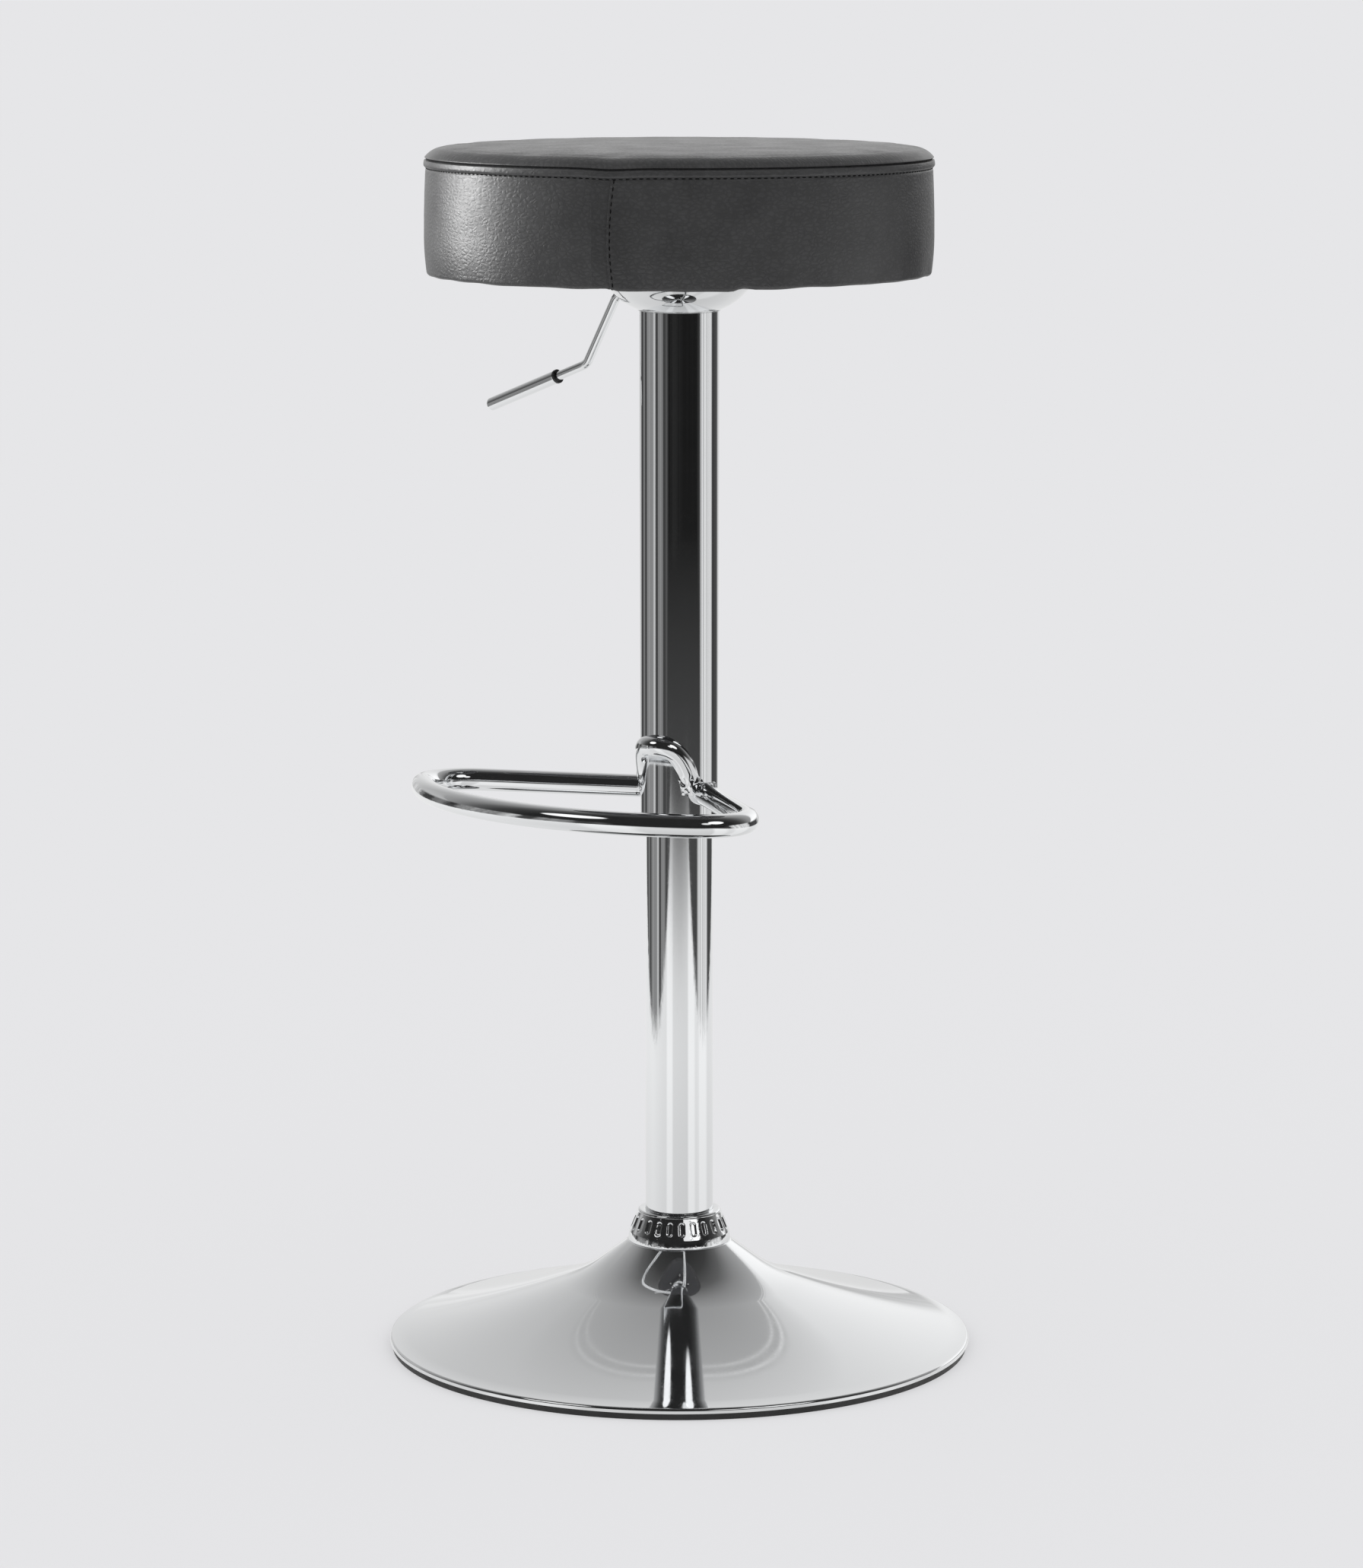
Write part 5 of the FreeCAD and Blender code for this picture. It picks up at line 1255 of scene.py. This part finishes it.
class STOOL_OT_footrest(bpy.types.Operator):
    """Make the footrest loop and the saddle that is welded over it"""

    bl_idname = "stool.footrest"
    bl_label = "Footrest"

    def execute(self, context):
        settings = context.scene.stool_metal
        chrome = shared_finish("chrome")
        tilt, height = math.radians(1.9), 396.7 * MM
        held_radius, steps, past_foot = COLUMN_RADIUS - 0.3 * MM, 60, 1.04
        lift = Matrix.Translation((0, 0, height)) @ Matrix.Rotation(-tilt, 4, "X")
        path = hold_straights([lift @ point for point in self.loop_path()])
        loop = sweep("footrest_loop", path, 8 * MM, segments=64)
        lean_on_column(loop, held_radius, settings.weld_size, height + 30 * MM)
        place(loop, chrome, "lift", "chrome", "footrest_ring")
        shares = [k / steps * past_foot for k in range(-steps, steps + 1)]
        saddle_path = [Vector((0, 0, height)) + self.saddle_point(share) for share in shares]
        saddle = sweep("footrest_saddle_bar", saddle_path, 7 * MM, segments=56)
        lean_on_column(saddle, held_radius, settings.weld_size, height + 14 * MM)
        place(saddle, chrome, "lift", "chrome", "footrest_saddle")
        return {"FINISHED"}

    def loop_path(self):
        """The bent tube's centre line, level, from one leg round the front to the other."""
        front, corner = 188.3 * MM, 35 * MM
        centre = Vector((0, 13.2 * MM))
        lean = math.radians(55.2)
        crossing = Vector((0, 15.7 * MM))
        along = Vector((math.sin(lean), -math.cos(lean)))
        inward = Vector((-math.cos(lean), -math.sin(lean)))
        offset = crossing + inward * corner - centre
        mid = offset.dot(along)
        run = -mid + math.sqrt(mid * mid - offset.length_squared + (front - corner) ** 2)
        hub = crossing + along * run + inward * corner
        leg_end = crossing + along * run
        corner_end = centre + (hub - centre).normalized() * front
        leg_start = crossing + along * 22 * MM
        first, last = leg_end - hub, corner_end - hub
        sweep_angle = first.angle_signed(last)
        weld_end = leg_start.lerp(leg_end, 0.16)
        half = spaced(leg_start, weld_end, 30) + spaced(weld_end, leg_end, 16)
        half += [hub + Matrix.Rotation(-sweep_angle * k / 30, 2) @ first for k in range(30)]
        start = math.atan2(corner_end.x, -(corner_end.y - centre.y))
        turns = [start * (1 - k / 48) for k in range(49)]
        half += [centre + Vector((math.sin(turn), -math.cos(turn))) * front for turn in turns]
        right = [Vector((p.x, p.y, 0)) for p in half]
        left = [Vector((-p.x, p.y, 0)) for p in reversed(half[:-1])]
        return right + left

    def saddle_point(self, share):
        """A point on the saddle's centre line, from -1 at one foot to 1 at the other."""
        azimuth = math.radians(7.5 + 56 * share)
        foot_share = abs(share) ** 1.5
        reach = (COLUMN_RADIUS + 3 * MM) * (1 - foot_share) + (COLUMN_RADIUS - 6.5 * MM) * foot_share
        foot, rise = 5 * MM, 34.6 * MM
        height = foot + (rise - foot) * (1 - abs(share) ** 2.8)
        return from_front(azimuth, reach, height)


class STOOL_OT_lever(bpy.types.Operator):
    """Make the bent height lever and its sleeve grip"""

    bl_idname = "stool.lever"
    bl_label = "Height Lever"

    def execute(self, context):
        chrome = shared_finish("chrome")
        nose = Vector((3 * MM, 0, PIVOT.z))
        pivot = Vector((PIVOT.x, 0, PIVOT.z))
        shoulder = Vector((-57.5 * MM, 0, PIVOT.z - 3.3 * MM))
        elbow = Vector((-87 * MM, 0, shoulder.z - 50.4 * MM))
        slope = math.radians(20)
        outward = Vector((-math.cos(slope), 0, -math.sin(slope)))
        grip_start, grip_length = 31 * MM, 69 * MM
        rod_end = elbow + outward * (grip_start + grip_length - 5 * MM)
        radius, tip = 3.25 * MM, 0.6 * MM
        path = [nose + Vector((tip, 0, 0)), nose]
        path += bend_points(nose, pivot, shoulder, 40 * MM)
        path += bend_points(pivot, shoulder, elbow, 11 * MM)
        path += bend_points(shoulder, elbow, rod_end, 11 * MM)
        path = hold_straights(path + [rod_end, rod_end + outward * tip])
        # The nose is ground thinner, so that it tilts onto the release pin without cutting into its edge.
        thinned = [min(max((point.x + 17 * MM) / (20 * MM), 0.0), 1.0) * 0.12 for point in path]
        radii = [radius * (1 - share) for share in thinned]
        radii[0], radii[-1] = radius * 0.7, radius * 0.8
        rod = sweep("height_lever", path, radii, segments=36)
        self.add_boss(rod)
        place(rod, chrome, "lever", "chrome", "lever_rod")
        grip_radius, wall = radius + 1.55 * MM, 0.8 * MM
        bore = grip_radius - wall
        end_rounding, end_wall = 2 * MM, 1.2 * MM
        outline = trace([
            (bore, 0), (grip_radius, 0), (grip_radius, grip_length - 2.6 * MM),
            (grip_radius, grip_length - end_rounding, end_rounding), (grip_radius - end_rounding, grip_length),
            (0, grip_length), (0, grip_length - end_wall), (bore, grip_length - end_wall),
        ], turn_step=math.radians(12))
        sleeve = lathe("lever_sleeve", ease(outline, 0.25 * MM), segments=64, closed=False)
        turn = Vector((0, 0, 1)).rotation_difference(outward).to_matrix().to_4x4()
        sleeve.data.transform(Matrix.Translation(elbow + outward * grip_start) @ turn)
        place(sleeve, chrome, "lever", "chrome", "lever_grip")
        return {"FINISHED"}

    def add_boss(self, rod):
        """The bored boss on the pivot pin, joined into the rod's mesh."""
        half, outer, bore = 6 * MM, 5.5 * MM, 2.55 * MM
        section = trace([(bore, -half), (outer, -half), (outer, half), (bore, half)])
        boss = lathe("lever_boss", ease(section, 0.4 * MM), segments=48)
        boss.data.transform(Matrix.Translation(PIVOT) @ Matrix.Rotation(math.pi / 2, 4, "X"))
        grid = bmesh.new()
        grid.from_mesh(rod.data)
        grid.from_mesh(boss.data)
        grid.to_mesh(rod.data)
        grid.free()
        bpy.data.objects.remove(boss)


class STOOL_OT_inner_parts(bpy.types.Operator):
    """Give the CAD parts that stay, inside and below, their finishes"""

    bl_idname = "stool.inner_parts"
    bl_label = "Inner Parts"

    def execute(self, context):
        parts = {
            "black_rubber": ["base_edge_ring", "rebound_bumper", "piston_seal"],
            "black_plate": ["base_plate", "seat_plate", "pressure_cylinder", "lever_bracket"],
            "bright_steel": [
                "column_socket", "thrust_washer_lower", "thrust_balls", "thrust_washer_upper", "piston_rod",
                "retaining_clip", "rod_end_washer", "piston_nut", "tube_top_ring", "taper_hub", "lever_pivot_pin",
                "t_nuts", "seat_washers", "release_pin", "column_foot_plug",
            ],
            "black_plastic": [
                "guide_liner", "ball_cage", "piston", "cylinder_gland", "upper_guide_bush", "grip_insert",
            ],
            "ballast_iron": ["ballast_disc"],
            "valve_brass": ["valve_block"],
            "plywood": ["seat_board"],
        }
        for slot, nodes in parts.items():
            for node in nodes:
                paint(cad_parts[node], shared_finish(slot))
        return {"FINISHED"}


# ---------------------------------------------------------------- stage

# Turn from the camera in degrees (negative to its left) and the level that chrome mirrors there.
ROOM_BANDS = [
    (-180, 0.76), (-154, 0.66), (-146, 0.42), (-139, 0.05), (-131, 0.06), (-127, 0.20), (-118, 0.18), (-115, 0.03),
    (-111, 0.04), (-107, 0.29), (-83, 0.27), (-80, 0.62), (-75, 0.60), (-72, 0.06), (-66, 0.05), (-62, 0.29),
    (-51, 0.26), (-47, 0.06), (-42, 0.06), (-37, 0.11), (-31, 0.012), (-14, 0.024), (10, 0.012), (52, 0.012),
    (62, 0.06), (65, 0.60), (78, 0.76), (106, 0.74), (111, 0.05), (140, 0.08), (151, 0.66), (180, 0.76),
]
# The same for the white paper on the floor: painted light and shade on the paper, brighter and darker by the turn.
PAPER_LIGHT_BANDS = [
    (-180, 0.86), (-100, 0.94), (-60, 0.86), (-46, 0.84), (-40, 1.0), (-25, 1.0), (-20, 0.80), (27, 0.77), (32, 1.0),
    (50, 1.0), (57, 0.86), (67, 0.88), (73, 1.0), (100, 1.0), (112, 0.84), (180, 0.86),
]
# How much of the pale wall behind the stool shows, from the ceiling over the camera (0) on: two bright edges first.
WALL_SHARE = [
    (0.0, 0.0), (0.35, 0.05), (0.37, 0.95), (0.39, 0.1), (0.435, 0.1), (0.455, 1.35), (0.48, 0.35), (0.53, 0.7),
    (1.0, 1.0),
]
# The ceiling's level, from over the camera (0) to behind the stool (1).
CEILING = [(0.0, 0.02), (0.3, 0.05), (0.5, 0.12), (0.7, 0.26), (1.0, 0.42)]
# Round softboxes that only chrome mirrors: turn and height in degrees, cosine of the half angle, strength.
MIRRORED_SOFTBOXES = [(-58, 42, 0.975, 1.2), (44, 38, 0.972, 1.2), (22, 31, 0.987, 0.9)]
# Softboxes that light the cushion alone: name, turn, distance, height, width, tallness, power.
CUSHION_SOFTBOXES = [
    ("side_softbox", -104, 1.5, 1.06, 0.52, 0.9, 27.0), ("back_softbox", 180, 2.6, 1.2, 3.2, 0.9, 5.0),
]
# How much of the floor's look to the camera is its own even paleness; the rest is lit and holds the shadow.
FLOOR_EVENNESS = 0.62
FLOOR_RADIUS = 6.0


def bands_ramp(tree, azimuth, bands):
    """The levels of bands by the turn away from the camera."""
    around = range_node(tree, azimuth, -math.pi, math.pi)
    return ramp_node(tree, around, [((degrees + 180) / 360, level) for degrees, level in bands])


def turned_to_camera(tree, vector, angle):
    """A direction turned so that -Y points at the camera, and the node that splits it into X, Y and Z."""
    turned = add_node(tree, "ShaderNodeVectorRotate", {"Vector": vector, "Angle": angle}, rotation_type="Z_AXIS")
    return turned, add_node(tree, "ShaderNodeSeparateXYZ", {0: turned})


@built_once("Room Bands")
def room_bands_group(name):
    """What chrome mirrors of the room, by the turn away from the camera: flags, grey panels and white strips."""
    tree, given = new_tree(
        name, "ShaderNodeTree", [("Vector", "Vector", None), ("Turn", "Float", 0.0)],
        [("Level", "Float"), ("Side", "Float"), ("Toward", "Float")],
    )
    _, parts = turned_to_camera(tree, (given, "Vector"), (given, "Turn"))
    toward = math_node(tree, "MULTIPLY", (parts, "Y"), -1.0)
    azimuth = math_node(tree, "ARCTAN2", (parts, "X"), toward)
    streaks = add_node(tree, "ShaderNodeTexNoise", {
        "W": azimuth, "Scale": 11.0, "Detail": 4.0, "Roughness": 0.75,
    }, noise_dimensions="1D")
    streak = range_node(tree, streaks, 0.3, 0.7, 0.62, 1.3)
    level = math_node(tree, "MULTIPLY", bands_ramp(tree, azimuth, ROOM_BANDS), streak)
    add_node(tree, "NodeGroupOutput", {"Level": level, "Side": (parts, "X"), "Toward": toward})
    return tree


def seen_directly(tree):
    """The Light Path node, and 1 for rays that come from the camera or through something clear."""
    path = tree.nodes.new("ShaderNodeLightPath")
    return path, math_node(tree, "MAXIMUM", (path, "Is Camera Ray"), (path, "Is Transmission Ray"))


def studio_world(settings):
    """The room: pale for the camera, even for soft light, with dark flags and softboxes for the chrome."""
    world = bpy.data.worlds.new("studio")
    bpy.context.scene.world = world
    world.use_nodes = True
    tree = world.node_tree
    tree.nodes.clear()
    bands = add_group(tree, room_bands_group(), "Generated", Turn=-settings.camera_azimuth)
    direction = (tree.nodes["Texture Coordinate"], "Generated")
    turned, parts = turned_to_camera(tree, direction, -settings.camera_azimuth)
    upward = math_node(tree, "MAXIMUM", (parts, "Z"), 0.05)
    behind = math_node(tree, "DIVIDE", (parts, "Y"), upward)
    aside = math_node(tree, "DIVIDE", math_node(tree, "ABSOLUTE", (parts, "X")), upward)
    edge = math_node(tree, "MULTIPLY_ADD", aside, 0.42, 0.96)
    past_edge = range_node(tree, math_node(tree, "SUBTRACT", behind, edge), -0.3, 0.3)
    ceiling = ramp_node(tree, range_node(tree, (parts, "Y"), -0.3, 0.7), CEILING)
    toward_floor = range_node(tree, (parts, "Z"), 0.0, 1.0, 0.90, 0.48)
    sideways = range_node(tree, (parts, "X"), -0.5, 0.5, 0.62, 1.4)
    overhead = add_node(tree, "ShaderNodeMix", {
        "Factor": ramp_node(tree, past_edge, WALL_SHARE), "A": ceiling,
        "B": math_node(tree, "MULTIPLY", toward_floor, sideways),
    })
    for degrees, elevation, width, strength in MIRRORED_SOFTBOXES:
        turn, rise = math.radians(degrees), math.radians(elevation)
        facing = vector_node(tree, "DOT_PRODUCT", {0: turned, 1: from_front(turn, math.cos(rise), math.sin(rise))})
        glow = range_node(tree, (facing, "Value"), width, width + 0.006, 0.0, strength)
        overhead = math_node(tree, "ADD", overhead, glow)
    rise = range_node(tree, (parts, "Z"), 0.02, 0.16, interpolation="SMOOTHSTEP")
    room = mix_colors(tree, rise, (bands, "Level"), overhead)
    even, seen, mirrored = (
        add_node(tree, "ShaderNodeBackground", {"Color": color})
        for color in ((1.0, 1.0, 1.0, 1.0), (*settings.backdrop, 1.0), room)
    )
    path, direct = seen_directly(tree)
    shine = mix_shaders(tree, (path, "Is Glossy Ray"), even, mirrored)
    add_node(tree, "ShaderNodeOutputWorld", {"Surface": mix_shaders(tree, direct, shine, seen)})


def floor_finish(settings):
    """A matt pale floor that keeps a soft shadow; chrome mirrors white paper with painted light and shade, darker near
    the stool, and past its edges the room.
    """
    finish = bpy.data.materials.new("studio_floor")
    finish.use_nodes = True
    tree = finish.node_tree
    tree.nodes.clear()
    bands = add_group(tree, room_bands_group(), "Object", Turn=-settings.camera_azimuth)
    position = (tree.nodes["Texture Coordinate"], "Object")
    fray = range_node(tree, noise_node(tree, position, 26.0, detail=2.0), 0.3, 0.7, -0.1, 0.1)
    ragged_side = math_node(tree, "ADD", math_node(tree, "ABSOLUTE", (bands, "Side")), fray)
    half_width, front = settings.paper_width * 0.5, settings.paper_reach
    across = range_node(tree, ragged_side, half_width - 0.02, half_width + 0.05, 1.0, 0.0)
    grain = range_node(tree, noise_node(tree, position, 60.0, detail=1.0), 0.3, 0.7, -0.35, 0.35)
    ragged_front = math_node(tree, "ADD", (bands, "Toward"), grain)
    along = range_node(tree, ragged_front, front - 0.9, front + 0.25, 1.0, 0.0)
    paper = math_node(tree, "MULTIPLY", across, along)
    azimuth = math_node(tree, "ARCTAN2", (bands, "Side"), (bands, "Toward"))
    reach = (vector_node(tree, "LENGTH", {0: position}), "Value")
    # Painted shade: the paper that chrome mirrors darkens towards the stool, as in a contact shadow.
    near = range_node(tree, reach, 0.2, 1.0, 0.84, 0.98)
    # Painted light and shade: the paper's level rises and falls by the turn from the camera.
    paper_light_and_shade = math_node(tree, "MULTIPLY", bands_ramp(tree, azimuth, PAPER_LIGHT_BANDS), near)
    darkest = range_node(tree, reach, 2.5, 5.2, 0.065, 0.012)
    room = math_node(tree, "MAXIMUM", (bands, "Level"), darkest)
    backdrop = (*settings.backdrop, 1.0)
    matt = add_node(tree, "ShaderNodeBsdfDiffuse", {"Color": backdrop})
    pale = add_node(tree, "ShaderNodeEmission", {"Color": backdrop})
    mirrored = add_node(tree, "ShaderNodeEmission", {"Color": mix_colors(tree, paper, room, paper_light_and_shade)})
    path, direct = seen_directly(tree)
    lit = mix_shaders(tree, math_node(tree, "MULTIPLY", direct, FLOOR_EVENNESS), matt, pale)
    show = mix_shaders(tree, (path, "Is Glossy Ray"), lit, mirrored)
    below = (tree.nodes.new("ShaderNodeNewGeometry"), "Backfacing")
    clear = tree.nodes.new("ShaderNodeBsdfTransparent")
    add_node(tree, "ShaderNodeOutputMaterial", {"Surface": mix_shaders(tree, below, show, clear)})
    return finish


class STOOL_OT_stage(bpy.types.Operator):
    """Set the floor, the room, the cushion's softboxes and the camera"""

    bl_idname = "stool.stage"
    bl_label = "Stage"

    def execute(self, context):
        settings = context.scene.stool_studio
        grid = bmesh.new()
        bmesh.ops.create_circle(grid, cap_ends=True, segments=128, radius=FLOOR_RADIUS)
        bmesh.ops.translate(grid, verts=grid.verts, vec=(0, 0, -0.05 * MM))
        floor = object_from("studio_floor", grid)
        paint(floor, floor_finish(settings))
        studio_world(settings)
        self.add_softboxes(settings)
        self.add_camera(settings)
        context.scene.view_settings.view_transform = "Standard"
        return {"FINISHED"}

    def add_softboxes(self, settings):
        """A tall softbox beside the seat, a little behind it, and a low wide one behind; only the cushion gets them."""
        lit = bpy.data.collections.new("softbox_lights")
        for name in ("seat_side_cover", "seat_top_cover", "crease_stitches", "upright_stitches"):
            lit.objects.link(bpy.data.objects[name])
        for name, degrees, distance, height, width, tall, power in CUSHION_SOFTBOXES:
            light = bpy.data.lights.new(name, "AREA")
            light.shape = "RECTANGLE"
            light.size, light.size_y = width, tall
            light.energy = power
            softbox = new_object(name, light)
            softbox.location = from_front(settings.camera_azimuth + math.radians(degrees), distance, height)
            self.point_at(softbox, Vector((0, 0, SEAT_FLOOR + 45 * MM)))
            softbox.light_linking.receiver_collection = lit

    def add_camera(self, settings):
        camera = new_object("camera", bpy.data.cameras.new("camera"))
        turn, aside = settings.camera_azimuth, 1.57 * MM
        camera.location = from_front(turn, settings.camera_distance, settings.camera_height)
        across = Vector((math.cos(turn), math.sin(turn), 0))
        self.point_at(camera, Vector((0, 0, settings.aim_height)) + across * aside)
        camera.data.lens = settings.lens
        camera.data.sensor_width = 36
        camera.data.clip_end = 100
        bpy.context.scene.camera = camera

    def point_at(self, piece, aim):
        piece.rotation_euler = (aim - piece.location).to_track_quat("-Z", "Y").to_euler()


# ---------------------------------------------------------------- panel


class STOOL_PT_panel(bpy.types.Panel):
    """Lists the steps that build the stool"""

    bl_label = "Bar Stool"
    bl_idname = "STOOL_PT_panel"
    bl_space_type = "VIEW_3D"
    bl_region_type = "UI"
    bl_category = "Bar Stool"

    def draw(self, context):
        for group in (context.scene.stool_cushion, context.scene.stool_metal, context.scene.stool_studio):
            box = self.layout.box()
            for name in group.bl_rna.properties.keys():
                if name not in {"rna_type", "name"}:
                    box.prop(group, name)
        for operator in BUILD_STEPS:
            self.layout.operator(operator.bl_idname)


BUILD_STEPS = (
    STOOL_OT_inner_parts,
    STOOL_OT_cushion,
    STOOL_OT_underside,
    STOOL_OT_base,
    STOOL_OT_column,
    STOOL_OT_footrest,
    STOOL_OT_lever,
    STOOL_OT_stage,
)
SETTINGS = (StoolCushionSettings, StoolMetalSettings, StoolStudioSettings)


def register():
    for group in (*SETTINGS, *BUILD_STEPS, STOOL_PT_panel):
        bpy.utils.register_class(group)
    bpy.types.Scene.stool_cushion = bpy.props.PointerProperty(type=StoolCushionSettings)
    bpy.types.Scene.stool_metal = bpy.props.PointerProperty(type=StoolMetalSettings)
    bpy.types.Scene.stool_studio = bpy.props.PointerProperty(type=StoolStudioSettings)


def unregister():
    del bpy.types.Scene.stool_studio
    del bpy.types.Scene.stool_metal
    del bpy.types.Scene.stool_cushion
    for group in reversed((*SETTINGS, *BUILD_STEPS, STOOL_PT_panel)):
        bpy.utils.unregister_class(group)


def main():
    register()
    make_shared_finishes()
    bpy.ops.stool.inner_parts()
    bpy.ops.stool.cushion()
    bpy.ops.stool.underside()
    bpy.ops.stool.base()
    bpy.ops.stool.column()
    bpy.ops.stool.footrest()
    bpy.ops.stool.lever()
    bpy.ops.stool.stage()


if __name__ == "__main__":
    main()
